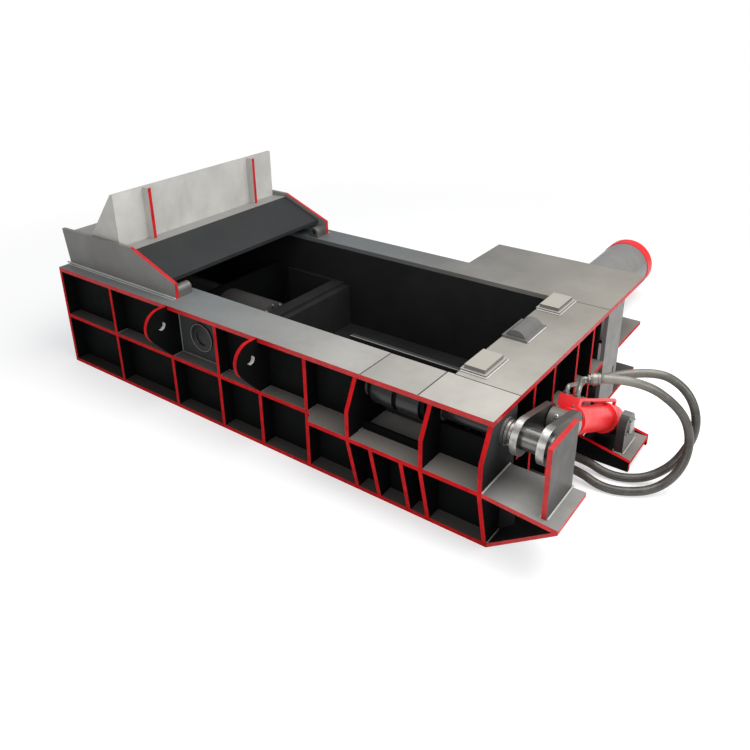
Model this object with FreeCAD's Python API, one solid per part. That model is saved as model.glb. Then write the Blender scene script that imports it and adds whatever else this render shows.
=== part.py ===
import FreeCAD
import Part
import math
import os

os.makedirs("parts", exist_ok=True)

V = FreeCAD.Vector

# Hydraulic scrap baling press, millimetres, +Z up.
# The origin is on the floor, under the corner of the press chamber where the bale is formed:
# X = 0 is the inner face of the end wall, Y = 0 the inner face of the near wall.
# +X runs along the machine towards the turn-out drive, +Y from the near wall to the side ram.

# ---- plate thicknesses ----
WEB = 25.0
DECK = 30.0
SKIN = 30.0
PANEL = 15.0
ARM = 30.0

# ---- body ----
HEIGHT = 750.0
LENGTH = 3084.0
CHAMBER_WIDTH = 1209.0
NEAR_WALL = 288.0
FAR_WALL = 221.0
END_WALL = 376.0
BAY_DEPTH = 90.0
RAIL_TOP = 390.0
FLOOR_TOP = 110.0
FLOOR = 30.0
BEAM = 60.0
RIB_ONE = -2514.0
RIB_TWO = -1939.0
RIB_THREE = -1504.0
RIB_FOUR = -1159.0
RIB_FIVE = -794.0
END_RIB_ONE = 172.0
END_RIB_TWO = 423.0
END_RIB_THREE = 746.0
END_RIB_FOUR = 984.0
END_BAYS_OVERRUN = 13.0

# ---- bulge of the near wall around the turn-out shaft ----
BULGE = 81.0
BULGE_START = -769.0
BULGE_FULL = -714.0
BULGE_TOP = 550.0
SHAFT_RIB_LEFT = -439.0
SHAFT_RIB_RIGHT = 26.0
LOWER_RIB_LEFT = -287.0
LOWER_RIB_RIGHT = -93.0
SILL_SETBACK = 119.0
SILL_HEIGHT = 48.0

# ---- lifting lugs and the round cover ----
LUG_RADIUS = 114.0
LUG_HOLE_OFFSET = 62.0
LUG_HOLE_HEIGHT = 632.0
LUG_HOLE = 32.0
COVER_RADIUS = 95.0
COVER_BOSS = 70.0
COVER_THICKNESS = 12.0
COVER_PLATE_SETBACK = 85.0
COVER_DROP = 200.0

# ---- running clearances ----
RAM_GAP = 2.0
FIT = 0.05
SLOT_GAP = 4.0

# ---- main ram and its cylinder ----
RAM_HEIGHT = 338.0
MAIN_FACE = -1635.0
MAIN_HEAD = 155.0
MAIN_STEP = 55.0
MAIN_STEP_DROP = 20.0
MAIN_GUIDE = 460.0
RAM_WALL = 25.0
MAIN_BORE = 132.0
MAIN_TUBE = 160.0
MAIN_ROD = 80.0
MAIN_TAIL = 40.0
MAIN_GLAND = 60.0
MAIN_FRONT = -1880.0
MAIN_SADDLE = -2360.0
PISTON = 90.0
FLANGE = 40.0
FLANGE_RIM = 45.0

# ---- side housing, side ram and its cylinder ----
HOUSING_LEFT = 727.0
HOUSING_DEPTH = 460.0
HOUSING_FOOT = 45.0
CORNER_PANEL = 278.0
PANEL_SLOT = 25.0
PANEL_SLOT_SETBACK = 50.0
PANEL_SLOT_BOTTOM = 130.0
PANEL_SLOT_TOP = 260.0
RECESS = 131.0
SIDE_FACE = 40.0
SIDE_LENGTH = 470.0
SIDE_AXIS = -165.0
SIDE_BORE = 165.0
SIDE_TUBE = 200.0
SIDE_ROD = 95.0
SIDE_END = 3280.0
SIDE_BAND = 102.0
SIDE_GLAND = 70.0
SIDE_BAND_PROUD = 6.0

# ---- turn-out cradle, shaft and lever ----
SHAFT_BACK = 145.0
SHAFT_DROP = 125.0
SHAFT = 48.0
BUSH_WALL = 12.0
BUSH_FLANGE = 14.0
BUSH_RIM = 12.0
CRADLE_LENGTH = 725.0
CRADLE_BACK = 50.0
CRADLE_FLOOR = 480.0
CRADLE_END_GAP = 5.0
CRADLE_TOP_DROP = 6.0
WINDOW_BOTTOM = 440.0
FLAP_LEFT = -405.0
FLAP_RIGHT = -46.0
FLAP_GAP = 2.0
ARM_STATIONS = (-390.0, -225.0, -61.0)
ARM_HUB = 80.0
DRUM = 96.0
DRUM_WALL = 16.0
CHEEK_ONE = 440.0
CHEEK_ONE_WIDTH = 36.0
CHEEK_GAP = 100.0
CHEEK_TWO_WIDTH = 40.0
CHEEK_DISC = 97.0
CHEEK_TIP = 78.0
HUB = 62.0
LEVER = 298.0
LEVER_ANGLE = -8.6
PIN = 25.0
PIN_HEAD = 34.0
PIN_HEAD_WIDTH = 18.0

# ---- turn-out cylinder ----
TRUNNION_ACROSS = 872.0
TRUNNION_HEIGHT = 215.0
TRUNNION = 30.0
TRUNNION_BAND = 60.0
TRUNNION_WALL = 14.0
TRUNNION_PROUD = 8.0
TURN_TUBE = 78.0
TURN_BORE = 60.0
TURN_COLLAR = 85.0
TURN_COLLAR_WIDTH = 55.0
TURN_ROD = 36.0
TURN_NECK = 223.0
TURN_BARREL = 776.0
TURN_PISTON = 50.0
ROD_EYE = 62.0
EYE_WIDTH = 90.0
EYE_SIDE_GAP = 5.0

# ---- shelf, foot and bearing plate outside the end wall ----
SHELF_BEYOND = 74.0
SHELF_FLARE = 37.0
SHELF_BACK = 73.0
SHELF_RIB = 90.0
SHELF_RIB_SETBACK = 60.0
BEARING_GAP = 20.0
BEARING_TOP = 772.0
FLANGE_BEARING = 46.0
FLANGE_BEARING_RIM = 84.0
FLANGE_BEARING_BODY = 68.0
FOOT_HEIGHT = 65.0
FOOT_ROOT = 142.0
FOOT_REACH = 374.0
FOOT_START = 731.0
FOOT_LENGTH = 353.0
PEDESTAL_ROUND = 84.0
PEDESTAL_FOOT = 128.0
PEDESTAL_GAP = 34.0
PEDESTAL_WIDTH = 50.0

# ---- end wall pads ----
PAD_OVERHANG = 0.0
PAD_WIDTH = 155.0
PAD_BASE = 14.0
PAD_UPPER = 22.0
PAD_MARGIN = 16.0
PAD_LENGTH = 240.0
NEAR_PAD = 48.0
FAR_PAD_SETBACK = 234.0
BLOCK_START = 540.0
BLOCK_LENGTH = 222.0
BLOCK_WIDTH = 124.0
BLOCK_RISE = 40.0

# ---- lid hinge tower ----
TOWER_SETBACK = 100.0
TOWER_LEFT_OVERHANG = 36.0
TOWER_TOP_LEFT = 1005.0
TOWER_TOP = 1015.0
TOWER_KNEE = -2506.0
TOWER_SLOPE = -2365.0
TOWER_TOE = -1953.0
TOWER_TOE_HEIGHT = 854.0
UPRIGHT_TOP = 1340.0
UPRIGHT_GUSSET = 300.0
UPRIGHT_RIB = 60.0
UPRIGHT_RIB_SETBACK = 240.0
KNUCKLE = 38.0
KNUCKLE_LENGTH = 110.0
KNUCKLE_BORE = 20.0

# ---- hoses and fittings ----
HOSE = 25.0
FERRULE = 31.0
FERRULE_LENGTH = 50.0
ELBOW = 12.0
HARD_PIPE = 11.0
BULKHEAD = 31.0
BEND_SHARE = 0.45
ELBOW_RISE = 45.0
ELBOW_RUN = 45.0
PORT_TOP = 123.0
PORT_SINK = 30.0
PORT_BLOCK = 50.0
PORT_SPACING = 62.0
PIPE_DROP = 4.0
PIPE_SETBACK = 25.0
HOSE_ONE = (
    (580.0, 553.0, 651.0),
    (761.0, 658.0, 658.0),
    (965.0, 795.0, 477.0),
    (1042.0, 798.0, 314.0),
    (1038.0, 729.0, 146.0),
    (948.0, 615.0, 38.0),
    (803.0, 508.0, 26.0),
    (672.0, 481.0, 26.0),
    (545.0, 500.0, 62.0),
    (430.0, 500.0, 62.0),
)
HOSE_TWO = (
    (532.0, 706.0, 562.0),
    (768.0, 839.0, 647.0),
    (968.0, 896.0, 549.0),
    (1057.0, 883.0, 341.0),
    (996.0, 793.0, 140.0),
    (889.0, 696.0, 49.0),
    (770.0, 632.0, 26.0),
    (655.0, 614.0, 26.0),
    (545.0, 620.0, 62.0),
    (430.0, 620.0, 62.0),
)

# ---- places worked out from the sizes above ----
UNDER_DECK = HEIGHT - DECK
UNDER_RAIL = RAIL_TOP - WEB
REAR = -LENGTH
NEAR_FACE = -NEAR_WALL
BULGE_FACE = NEAR_FACE - BULGE
FAR_FACE = CHAMBER_WIDTH + FAR_WALL
HOUSING_BACK = FAR_FACE + HOUSING_DEPTH
HALF_WEB = WEB / 2
RIB_STATIONS = (RIB_ONE, RIB_TWO, RIB_THREE, RIB_FOUR, RIB_FIVE)
LUG_STATIONS = (RIB_TWO, RIB_FOUR)
COVER_BAY = (RIB_TWO + HALF_WEB, RIB_THREE - HALF_WEB)
LOWER_BULGE_RIBS = (LOWER_RIB_LEFT, LOWER_RIB_RIGHT)
END_RIB_STATIONS = (END_RIB_ONE, END_RIB_TWO, END_RIB_THREE, END_RIB_FOUR)
SHAFT_HEIGHT = HEIGHT - SHAFT_DROP
FAR_PAD = CHAMBER_WIDTH - FAR_PAD_SETBACK
COVER_HEIGHT = HEIGHT - COVER_DROP
END_BAYS_WIDTH = CHAMBER_WIDTH + END_BAYS_OVERRUN
SHAFT_Y = -SHAFT_BACK
RAM_BOTTOM = FLOOR_TOP + RAM_GAP
RAM_TOP = RAM_BOTTOM + RAM_HEIGHT
RAM_AXIS = RAM_BOTTOM + RAM_HEIGHT / 2
RAM_MIDDLE = CHAMBER_WIDTH / 2
RAM_PORT_TOP = RAM_TOP + RAM_GAP
CRADLE_RIGHT = -CRADLE_END_GAP
CRADLE_LEFT = CRADLE_RIGHT - CRADLE_LENGTH
CRADLE_FACE = CRADLE_BACK + ARM
CRADLE_FAR = CRADLE_FACE + CRADLE_FLOOR
CHEEK_TWO = CHEEK_ONE + CHEEK_ONE_WIDTH + CHEEK_GAP
DRIVE_X = CHEEK_ONE + CHEEK_ONE_WIDTH + CHEEK_GAP / 2
PIN_Y = SHAFT_Y + LEVER * math.cos(math.radians(LEVER_ANGLE))
PIN_Z = SHAFT_HEIGHT + LEVER * math.sin(math.radians(LEVER_ANGLE))
BEARING_PLATE = CHEEK_TWO + CHEEK_TWO_WIDTH + BEARING_GAP + FLANGE_BEARING
SHAFT_END = BEARING_PLATE - SLOT_GAP
SHELF_END = BEARING_PLATE + WEB + SHELF_BEYOND
SHELF_REACH = SHELF_END - END_WALL
FOOT_END = END_WALL + FOOT_REACH
PEDESTAL_INNER = DRIVE_X - TURN_TUBE - PEDESTAL_GAP
PEDESTAL_OUTER = DRIVE_X + TURN_TUBE + PEDESTAL_GAP


def box(x, y, z):
    """A block between two X, two Y and two Z planes."""
    return Part.makeBox(x[1] - x[0], y[1] - y[0], z[1] - z[0], V(x[0], y[0], z[0]))


def place(axis, along, u, v):
    """The point with one coordinate along the axis and (u, v) in the plane across it."""
    if axis == "x":
        return V(along, u, v)
    if axis == "y":
        return V(u, along, v)
    return V(u, v, along)


def direction(axis):
    return place(axis, 1, 0, 0)


def prism(axis, start, end, outline):
    """A flat plate with a polygonal outline, from start to end along the axis."""
    corners = [place(axis, start, u, v) for u, v in outline]
    face = Part.Face(Part.makePolygon(corners + corners[:1]))
    return face.extrude(direction(axis) * (end - start))


def bar(axis, start, end, u, v, radius):
    """A round bar from start to end along the axis."""
    return Part.makeCylinder(radius, end - start, place(axis, start, u, v), direction(axis))


def ring(axis, start, end, u, v, outer, inner):
    return bar(axis, start, end, u, v, outer).cut(bar(axis, start, end, u, v, inner))


def web(station, y, z):
    """A plate across the X axis, centred on its station."""
    return box((station - HALF_WEB, station + HALF_WEB), y, z)


def touch(centre, radius, foot, side):
    """Where a straight flank from a foot touches a round: side is 1 or -1."""
    across = foot[0] - centre[0]
    down = foot[1] - centre[1]
    spread = math.acos(radius / math.hypot(across, down))
    turn = math.atan2(down, across) + side * spread
    return centre[0] + radius * math.cos(turn), centre[1] + radius * math.sin(turn)


def save(name, *shapes):
    """One node: its separate solids go in one file."""
    shape = shapes[0] if len(shapes) == 1 else Part.makeCompound(list(shapes))
    shape.exportStep("parts/" + name + ".step")


def gaps(stations):
    """The clear spaces between neighbouring plates."""
    pairs = zip(stations[:-1], stations[1:])
    return [(left + HALF_WEB, right - HALF_WEB) for left, right in pairs]


# ---- base, floor and its beams ----


def base_plate():
    back = HOUSING_BACK + HOUSING_FOOT
    outline = (
        (REAR, NEAR_FACE),
        (END_WALL, NEAR_FACE),
        (END_WALL, back),
        (-HOUSING_LEFT, back),
        (-HOUSING_LEFT, FAR_FACE),
        (REAR, FAR_FACE),
    )
    return prism("z", 0, WEB, outline)


def chamber_floor():
    plate = box((REAR + WEB, 0), (0, CHAMBER_WIDTH), (FLOOR_TOP - FLOOR, FLOOR_TOP))
    well = box(
        (CRADLE_LEFT - RAM_GAP, 0),
        (CRADLE_BACK - RAM_GAP, CRADLE_FAR + RAM_GAP),
        (FLOOR_TOP - FLOOR, FLOOR_TOP),
    )
    return plate.cut(well)


def floor_beams():
    count = 6
    pitch = (CHAMBER_WIDTH - BEAM) / (count - 1)
    beams = []
    for i in range(count):
        y = i * pitch
        beams.append(box((REAR + WEB, 0), (y, y + BEAM), (WEB, FLOOR_TOP - FLOOR)))
    return beams


# ---- near wall ----


def shaft_hole(start, end, radius):
    return bar("x", start, end, SHAFT_Y, SHAFT_HEIGHT, radius)


def near_top_plates():
    left = box((REAR, FLAP_LEFT - FLAP_GAP), (NEAR_FACE, 0), (UNDER_DECK, HEIGHT))
    right = box((FLAP_RIGHT + FLAP_GAP, END_WALL), (NEAR_FACE, 0), (UNDER_DECK, HEIGHT))
    return left, right


def near_mid_rail():
    outline = (
        (REAR, NEAR_FACE),
        (BULGE_START, NEAR_FACE),
        (BULGE_FULL, BULGE_FACE),
        (END_WALL, BULGE_FACE),
        (END_WALL, -SKIN),
        (REAR, -SKIN),
    )
    return prism("z", UNDER_RAIL, RAIL_TOP, outline)


def near_skin():
    skin = box((REAR + WEB, 0), (-SKIN, 0), (WEB, UNDER_DECK))
    window = box(
        (FLAP_LEFT - SLOT_GAP, FLAP_RIGHT + SLOT_GAP), (-SKIN, 0), (WINDOW_BOTTOM, UNDER_DECK)
    )
    return skin.cut(window)


def lug_rib(station):
    """A rib with a round ear about its hole and a straight flank down to the rail."""
    x = (station - HALF_WEB, station + HALF_WEB)
    hole = (NEAR_FACE - LUG_HOLE_OFFSET, LUG_HOLE_HEIGHT)
    top = LUG_HOLE_HEIGHT + LUG_RADIUS
    outline = (
        (hole[0], top),
        touch(hole, LUG_RADIUS, (NEAR_FACE, RAIL_TOP), -1),
        (NEAR_FACE, RAIL_TOP),
        (-SKIN, RAIL_TOP),
        (-SKIN, UNDER_DECK),
        (NEAR_FACE, UNDER_DECK),
        (NEAR_FACE, top),
    )
    rib = prism("x", x[0], x[1], outline)
    rib = rib.fuse(bar("x", x[0], x[1], hole[0], hole[1], LUG_RADIUS))
    rib = rib.cut(box(x, (NEAR_FACE, 0), (UNDER_DECK, HEIGHT)))
    return rib.cut(bar("x", x[0], x[1], hole[0], hole[1], LUG_HOLE)).removeSplitter()


def upper_bulge_rib(left):
    outline = (
        (NEAR_FACE, UNDER_DECK),
        (BULGE_FACE, BULGE_TOP),
        (BULGE_FACE, RAIL_TOP),
        (-SKIN, RAIL_TOP),
        (-SKIN, UNDER_DECK),
    )
    plate = prism("x", left, left + WEB, outline)
    return plate.cut(shaft_hole(left, left + WEB, SHAFT + FIT + BUSH_WALL))


def lower_bulge_rib(left):
    outline = ((BULGE_FACE, UNDER_RAIL), (NEAR_FACE, WEB), (-SKIN, WEB), (-SKIN, UNDER_RAIL))
    return prism("x", left, left + WEB, outline)


REAR_RIB = REAR + HALF_WEB
END_PLATE = END_WALL - HALF_WEB
SHAFT_PLATES = (SHAFT_RIB_LEFT - HALF_WEB, SHAFT_RIB_RIGHT - HALF_WEB, END_WALL - WEB)


def near_upper_ribs():
    plain = [s for s in (REAR_RIB,) + RIB_STATIONS if s not in LUG_STATIONS]
    return [web(s, (NEAR_FACE, -SKIN), (RAIL_TOP, UNDER_DECK)) for s in plain]


def near_lower_ribs():
    ribs = [web(s, (NEAR_FACE, -SKIN), (WEB, UNDER_RAIL)) for s in (REAR_RIB,) + RIB_STATIONS]
    stations = (SHAFT_RIB_LEFT,) + LOWER_BULGE_RIBS + (SHAFT_RIB_RIGHT, END_PLATE)
    return ribs + [lower_bulge_rib(s - HALF_WEB) for s in stations]


def bay_panels(bays, front, z):
    """Infill panels at the back of the bays of a wall."""
    return [box(bay, (front, front + PANEL), z) for bay in bays]


def near_back_panels():
    front = NEAR_FACE + BAY_DEPTH
    stations = (REAR_RIB,) + RIB_STATIONS + (SHAFT_RIB_LEFT,)
    upper = [bay for bay in gaps(stations) if bay != COVER_BAY]
    lower = gaps(stations + LOWER_BULGE_RIBS + (SHAFT_RIB_RIGHT, END_PLATE))
    panels = bay_panels(upper, front, (RAIL_TOP, UNDER_DECK))
    panels += bay_panels(lower, front, (WEB, UNDER_RAIL))
    below_shaft = SHAFT_HEIGHT - SHAFT - SLOT_GAP
    end_bay = (SHAFT_RIB_RIGHT + HALF_WEB, END_WALL - WEB)
    panels += bay_panels([end_bay], front, (RAIL_TOP, below_shaft))
    sill_bay = (SHAFT_RIB_LEFT + HALF_WEB, SHAFT_RIB_RIGHT - HALF_WEB)
    sill = BULGE_FACE + SILL_SETBACK
    panels += bay_panels([sill_bay], sill, (RAIL_TOP, RAIL_TOP + SILL_HEIGHT))
    return panels


COVER_X = (COVER_BAY[0] + COVER_BAY[1]) / 2
COVER_FRONT = NEAR_FACE + COVER_PLATE_SETBACK


def cover_plate():
    plate = box(COVER_BAY, (COVER_FRONT, COVER_FRONT + COVER_THICKNESS), (RAIL_TOP, UNDER_DECK))
    back = COVER_FRONT + COVER_THICKNESS
    return plate.cut(bar("y", COVER_FRONT, back, COVER_X, COVER_HEIGHT, COVER_BOSS))


def cover_ring():
    back = COVER_FRONT + COVER_THICKNESS
    front = COVER_FRONT - COVER_THICKNESS
    flange = bar("y", front, COVER_FRONT, COVER_X, COVER_HEIGHT, COVER_RADIUS)
    plug = bar("y", COVER_FRONT, back, COVER_X, COVER_HEIGHT, COVER_BOSS)
    dish_radius = COVER_BOSS - COVER_THICKNESS
    dish = bar("y", front, COVER_FRONT, COVER_X, COVER_HEIGHT, dish_radius)
    return flange.fuse(plug).cut(dish).removeSplitter()


# ---- end wall ----


def end_skin():
    return box((0, SKIN), (0, CHAMBER_WIDTH), (WEB, UNDER_DECK))


def end_ribs(z):
    ribs = []
    for y in END_RIB_STATIONS:
        ribs.append(box((SKIN, END_WALL), (y - HALF_WEB, y + HALF_WEB), z))
    return ribs


def end_back_panels():
    edges = (-HALF_WEB,) + END_RIB_STATIONS + (END_BAYS_WIDTH + HALF_WEB,)
    x = (END_WALL - BAY_DEPTH - PANEL, END_WALL - BAY_DEPTH)
    panels = []
    for z in ((WEB, UNDER_RAIL), (RAIL_TOP, UNDER_DECK)):
        panels += [box(x, bay, z) for bay in gaps(edges)]
    return panels


def end_mid_rail():
    return box((SKIN, END_WALL), (0, END_BAYS_WIDTH), (UNDER_RAIL, RAIL_TOP))


def end_top_plate():
    return box((0, END_WALL), (0, END_BAYS_WIDTH), (UNDER_DECK, HEIGHT))


def corner_panel():
    x = (END_WALL - WEB, END_WALL)
    panel = box(x, (END_BAYS_WIDTH, END_BAYS_WIDTH + CORNER_PANEL), (WEB, UNDER_DECK))
    slot_y = END_BAYS_WIDTH + CORNER_PANEL - PANEL_SLOT_SETBACK
    slot = box(x, (slot_y - PANEL_SLOT, slot_y), (PANEL_SLOT_BOTTOM, PANEL_SLOT_TOP))
    return panel.cut(slot)


def pad(start):
    """A stepped rest for the lid: an upper plate on a wider base plate."""
    x = (-PAD_OVERHANG, PAD_WIDTH - PAD_OVERHANG)
    base = box(x, (start, start + PAD_LENGTH), (HEIGHT, HEIGHT + PAD_BASE))
    inner = (x[0] + PAD_MARGIN, x[1] - PAD_MARGIN)
    top = HEIGHT + PAD_BASE
    y = (start + PAD_MARGIN, start + PAD_LENGTH - PAD_MARGIN)
    return base.fuse(box(inner, y, (top, top + PAD_UPPER))).removeSplitter()


def half_round_block():
    middle = PAD_WIDTH / 2 - PAD_OVERHANG
    x = (middle - BLOCK_WIDTH / 2, middle + BLOCK_WIDTH / 2)
    y = (BLOCK_START, BLOCK_START + BLOCK_LENGTH)
    base_x = (x[0] - PAD_MARGIN, x[1] + PAD_MARGIN)
    base_y = (y[0] - PAD_MARGIN, y[1] + PAD_MARGIN)
    base = box(base_x, base_y, (HEIGHT, HEIGHT + PAD_BASE))
    top = HEIGHT + PAD_BASE
    left = V(x[0], y[0], top)
    right = V(x[1], y[0], top)
    crown = V(middle, y[0], top + BLOCK_RISE)
    edges = [Part.Arc(left, crown, right).toShape(), Part.LineSegment(right, left).toShape()]
    block = Part.Face(Part.Wire(edges)).extrude(V(0, BLOCK_LENGTH, 0))
    return base.fuse(block).removeSplitter()


# ---- far wall and side housing ----


def far_skin():
    skin = box((REAR + WEB, SKIN), (CHAMBER_WIDTH, CHAMBER_WIDTH + SKIN), (WEB, UNDER_DECK))
    port = box(
        (SIDE_LEFT - RAM_GAP, CRADLE_RIGHT + RAM_GAP),
        (CHAMBER_WIDTH, CHAMBER_WIDTH + SKIN),
        (FLOOR_TOP, RAM_PORT_TOP),
    )
    return skin.cut(port)


def far_ribs(z):
    inner = CHAMBER_WIDTH + SKIN
    return [web(s, (inner, FAR_FACE), z) for s in (REAR_RIB,) + RIB_STATIONS]


def far_back_panels():
    edges = (REAR_RIB,) + RIB_STATIONS + (-HOUSING_LEFT + HALF_WEB,)
    front = FAR_FACE - BAY_DEPTH - PANEL
    panels = bay_panels(gaps(edges), front, (WEB, UNDER_RAIL))
    return panels + bay_panels(gaps(edges), front, (RAIL_TOP, UNDER_DECK))


def far_mid_rail():
    inner = CHAMBER_WIDTH + SKIN
    return box((REAR, -HOUSING_LEFT), (inner, FAR_FACE), (UNDER_RAIL, RAIL_TOP))


def far_top_plate():
    return box((REAR, -HOUSING_LEFT), (CHAMBER_WIDTH, FAR_FACE), (UNDER_DECK, HEIGHT))


def housing_top_plate():
    outline = (
        (-HOUSING_LEFT, CHAMBER_WIDTH),
        (0, CHAMBER_WIDTH),
        (0, END_BAYS_WIDTH),
        (END_WALL, END_BAYS_WIDTH),
        (END_WALL, HOUSING_BACK),
        (-HOUSING_LEFT, HOUSING_BACK),
    )
    return prism("z", UNDER_DECK, HEIGHT, outline)


SIDE_RIGHT = CRADLE_RIGHT
SIDE_LEFT = -HOUSING_LEFT + WEB + RAM_GAP
GUIDE_RIGHT = SIDE_RIGHT + RAM_GAP
HOUSING_WALL = END_WALL - RECESS
REAR_PLATE = HOUSING_BACK - WEB


def housing_side_plates():
    inner = CHAMBER_WIDTH + SKIN
    left = box((-HOUSING_LEFT, -HOUSING_LEFT + WEB), (inner, REAR_PLATE), (WEB, UNDER_DECK))
    right = box((GUIDE_RIGHT, GUIDE_RIGHT + WEB), (inner, REAR_PLATE), (WEB, UNDER_DECK))
    y = (END_BAYS_WIDTH + CORNER_PANEL, REAR_PLATE)
    outer = box((HOUSING_WALL - WEB, HOUSING_WALL), y, (WEB, UNDER_DECK))
    return left, right, outer


def housing_rear_plate():
    plate = box((-HOUSING_LEFT, HOUSING_WALL), (REAR_PLATE, HOUSING_BACK), (WEB, UNDER_DECK))
    return plate.cut(bar("y", REAR_PLATE, HOUSING_BACK, SIDE_AXIS, RAM_AXIS, SIDE_TUBE))


def housing_floor():
    x = (-HOUSING_LEFT + WEB, GUIDE_RIGHT)
    return box(x, (CHAMBER_WIDTH + SKIN, REAR_PLATE), (FLOOR_TOP - FLOOR, FLOOR_TOP))


def housing_mid_rail():
    y = (END_BAYS_WIDTH + CORNER_PANEL, HOUSING_BACK + HOUSING_FOOT)
    return box((HOUSING_WALL, END_WALL), y, (UNDER_RAIL, RAIL_TOP))


def side_ram_face():
    x = (SIDE_LEFT, SIDE_RIGHT)
    return box(x, (CHAMBER_WIDTH, CHAMBER_WIDTH + SIDE_FACE), (RAM_BOTTOM, RAM_TOP))


def side_ram_body():
    y = (CHAMBER_WIDTH + SIDE_FACE, CHAMBER_WIDTH + SIDE_LENGTH)
    shell = box((SIDE_LEFT, SIDE_RIGHT), y, (RAM_BOTTOM, RAM_TOP))
    hollow = box(
        (SIDE_LEFT + RAM_WALL, SIDE_RIGHT - RAM_WALL), y, (RAM_BOTTOM + RAM_WALL, RAM_TOP - RAM_WALL)
    )
    return shell.cut(hollow)


def side_cylinder():
    front = REAR_PLATE
    band = SIDE_END - SIDE_BAND
    tube = ring("y", front, band, SIDE_AXIS, RAM_AXIS, SIDE_TUBE, SIDE_BORE)
    gland = ring("y", front, front + SIDE_GLAND, SIDE_AXIS, RAM_AXIS, SIDE_BORE, SIDE_ROD + FIT)
    return tube.fuse(gland).removeSplitter()


def side_cylinder_flange():
    y = (HOUSING_BACK, HOUSING_BACK + FLANGE)
    return ring("y", y[0], y[1], SIDE_AXIS, RAM_AXIS, SIDE_TUBE + FLANGE_RIM, SIDE_TUBE)


def side_cylinder_cap():
    band = SIDE_END - SIDE_BAND
    return bar("y", band, SIDE_END, SIDE_AXIS, RAM_AXIS, SIDE_TUBE + SIDE_BAND_PROUD)


def side_rod():
    head = CHAMBER_WIDTH + SIDE_FACE
    band = SIDE_END - SIDE_BAND
    piston = bar("y", band - PISTON - SLOT_GAP, band - SLOT_GAP, SIDE_AXIS, RAM_AXIS, SIDE_BORE - FIT)
    return bar("y", head, band - PISTON, SIDE_AXIS, RAM_AXIS, SIDE_ROD).fuse(piston).removeSplitter()


# ---- main ram and its cylinder ----

RAM_NEAR = RAM_GAP
RAM_FAR = CHAMBER_WIDTH - RAM_GAP
HEAD_BACK = MAIN_FACE - MAIN_HEAD


def main_ram_head():
    """The pushing head: a deep block with a step down to its face plate."""
    step = MAIN_FACE - MAIN_STEP
    outline = (
        (HEAD_BACK, RAM_BOTTOM),
        (MAIN_FACE, RAM_BOTTOM),
        (MAIN_FACE, RAM_TOP - MAIN_STEP_DROP),
        (step, RAM_TOP - MAIN_STEP_DROP),
        (step, RAM_TOP),
        (HEAD_BACK, RAM_TOP),
    )
    head = prism("y", RAM_NEAR, RAM_FAR, outline)
    pocket_y = (RAM_NEAR + RAM_WALL, RAM_FAR - RAM_WALL)
    pocket = box((HEAD_BACK, step), pocket_y, (RAM_BOTTOM + RAM_WALL, RAM_TOP - RAM_WALL))
    return head.cut(pocket)


def main_ram_guides():
    x = (HEAD_BACK - MAIN_GUIDE, HEAD_BACK)
    z = (RAM_BOTTOM, RAM_TOP)
    near = box(x, (RAM_NEAR, RAM_NEAR + RAM_WALL), z)
    far = box(x, (RAM_FAR - RAM_WALL, RAM_FAR), z)
    return near, far


def main_cylinder():
    tube = ring("x", REAR, MAIN_FRONT, RAM_MIDDLE, RAM_AXIS, MAIN_TUBE, MAIN_BORE)
    front = MAIN_FRONT - MAIN_GLAND
    gland = ring("x", front, MAIN_FRONT, RAM_MIDDLE, RAM_AXIS, MAIN_BORE, MAIN_ROD + FIT)
    return tube.fuse(gland).removeSplitter()


def main_cylinder_cap():
    """The tail cap and its mounting flange, outside the rear plate."""
    flange = bar("x", REAR - FLANGE, REAR, RAM_MIDDLE, RAM_AXIS, MAIN_TUBE + FLANGE_RIM)
    cap = bar("x", REAR - FLANGE - MAIN_TAIL, REAR, RAM_MIDDLE, RAM_AXIS, MAIN_TUBE)
    return flange.fuse(cap).removeSplitter()


def main_saddle():
    x = (MAIN_SADDLE, MAIN_SADDLE + WEB)
    z = (FLOOR_TOP, RAM_AXIS + MAIN_TUBE + FLANGE_RIM)
    plate = box(x, (0, CHAMBER_WIDTH), z)
    return plate.cut(bar("x", x[0], x[1], RAM_MIDDLE, RAM_AXIS, MAIN_TUBE))


def main_rod():
    back = REAR + SLOT_GAP
    rod = bar("x", back, MAIN_FACE - MAIN_STEP, RAM_MIDDLE, RAM_AXIS, MAIN_ROD)
    piston = bar("x", back, back + PISTON, RAM_MIDDLE, RAM_AXIS, MAIN_BORE - FIT)
    return rod.fuse(piston).removeSplitter()


def rear_plate():
    plate = box((REAR, REAR + WEB), (-SKIN, CHAMBER_WIDTH + SKIN), (WEB, UNDER_DECK))
    return plate.cut(bar("x", REAR, REAR + WEB, RAM_MIDDLE, RAM_AXIS, MAIN_TUBE))


# ---- lid hinge tower on the rear of the body ----

TOWER_NEAR = NEAR_FACE + TOWER_SETBACK
TOWER_FAR = FAR_FACE - TOWER_SETBACK


def tower_cheek(y):
    left = REAR - TOWER_LEFT_OVERHANG
    outline = (
        (REAR, HEIGHT),
        (TOWER_TOE, HEIGHT),
        (TOWER_TOE, TOWER_TOE_HEIGHT),
        (TOWER_SLOPE, TOWER_TOP),
        (TOWER_KNEE, TOWER_TOP),
        (left, TOWER_TOP_LEFT),
    )
    return prism("y", y, y + WEB, outline)


def slope_height(x, drop):
    """Height of a plate laid along the sloping edge of the tower cheeks."""
    slope = (TOWER_TOP - TOWER_TOE_HEIGHT) / (TOWER_TOE - TOWER_SLOPE)
    return TOWER_TOP - slope * (x - TOWER_SLOPE) - drop


def tower_top_plate():
    y = (TOWER_NEAR + WEB, TOWER_FAR)
    return box((REAR, TOWER_KNEE), y, (TOWER_TOP_LEFT - 2 * WEB, TOWER_TOP_LEFT - WEB))


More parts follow.
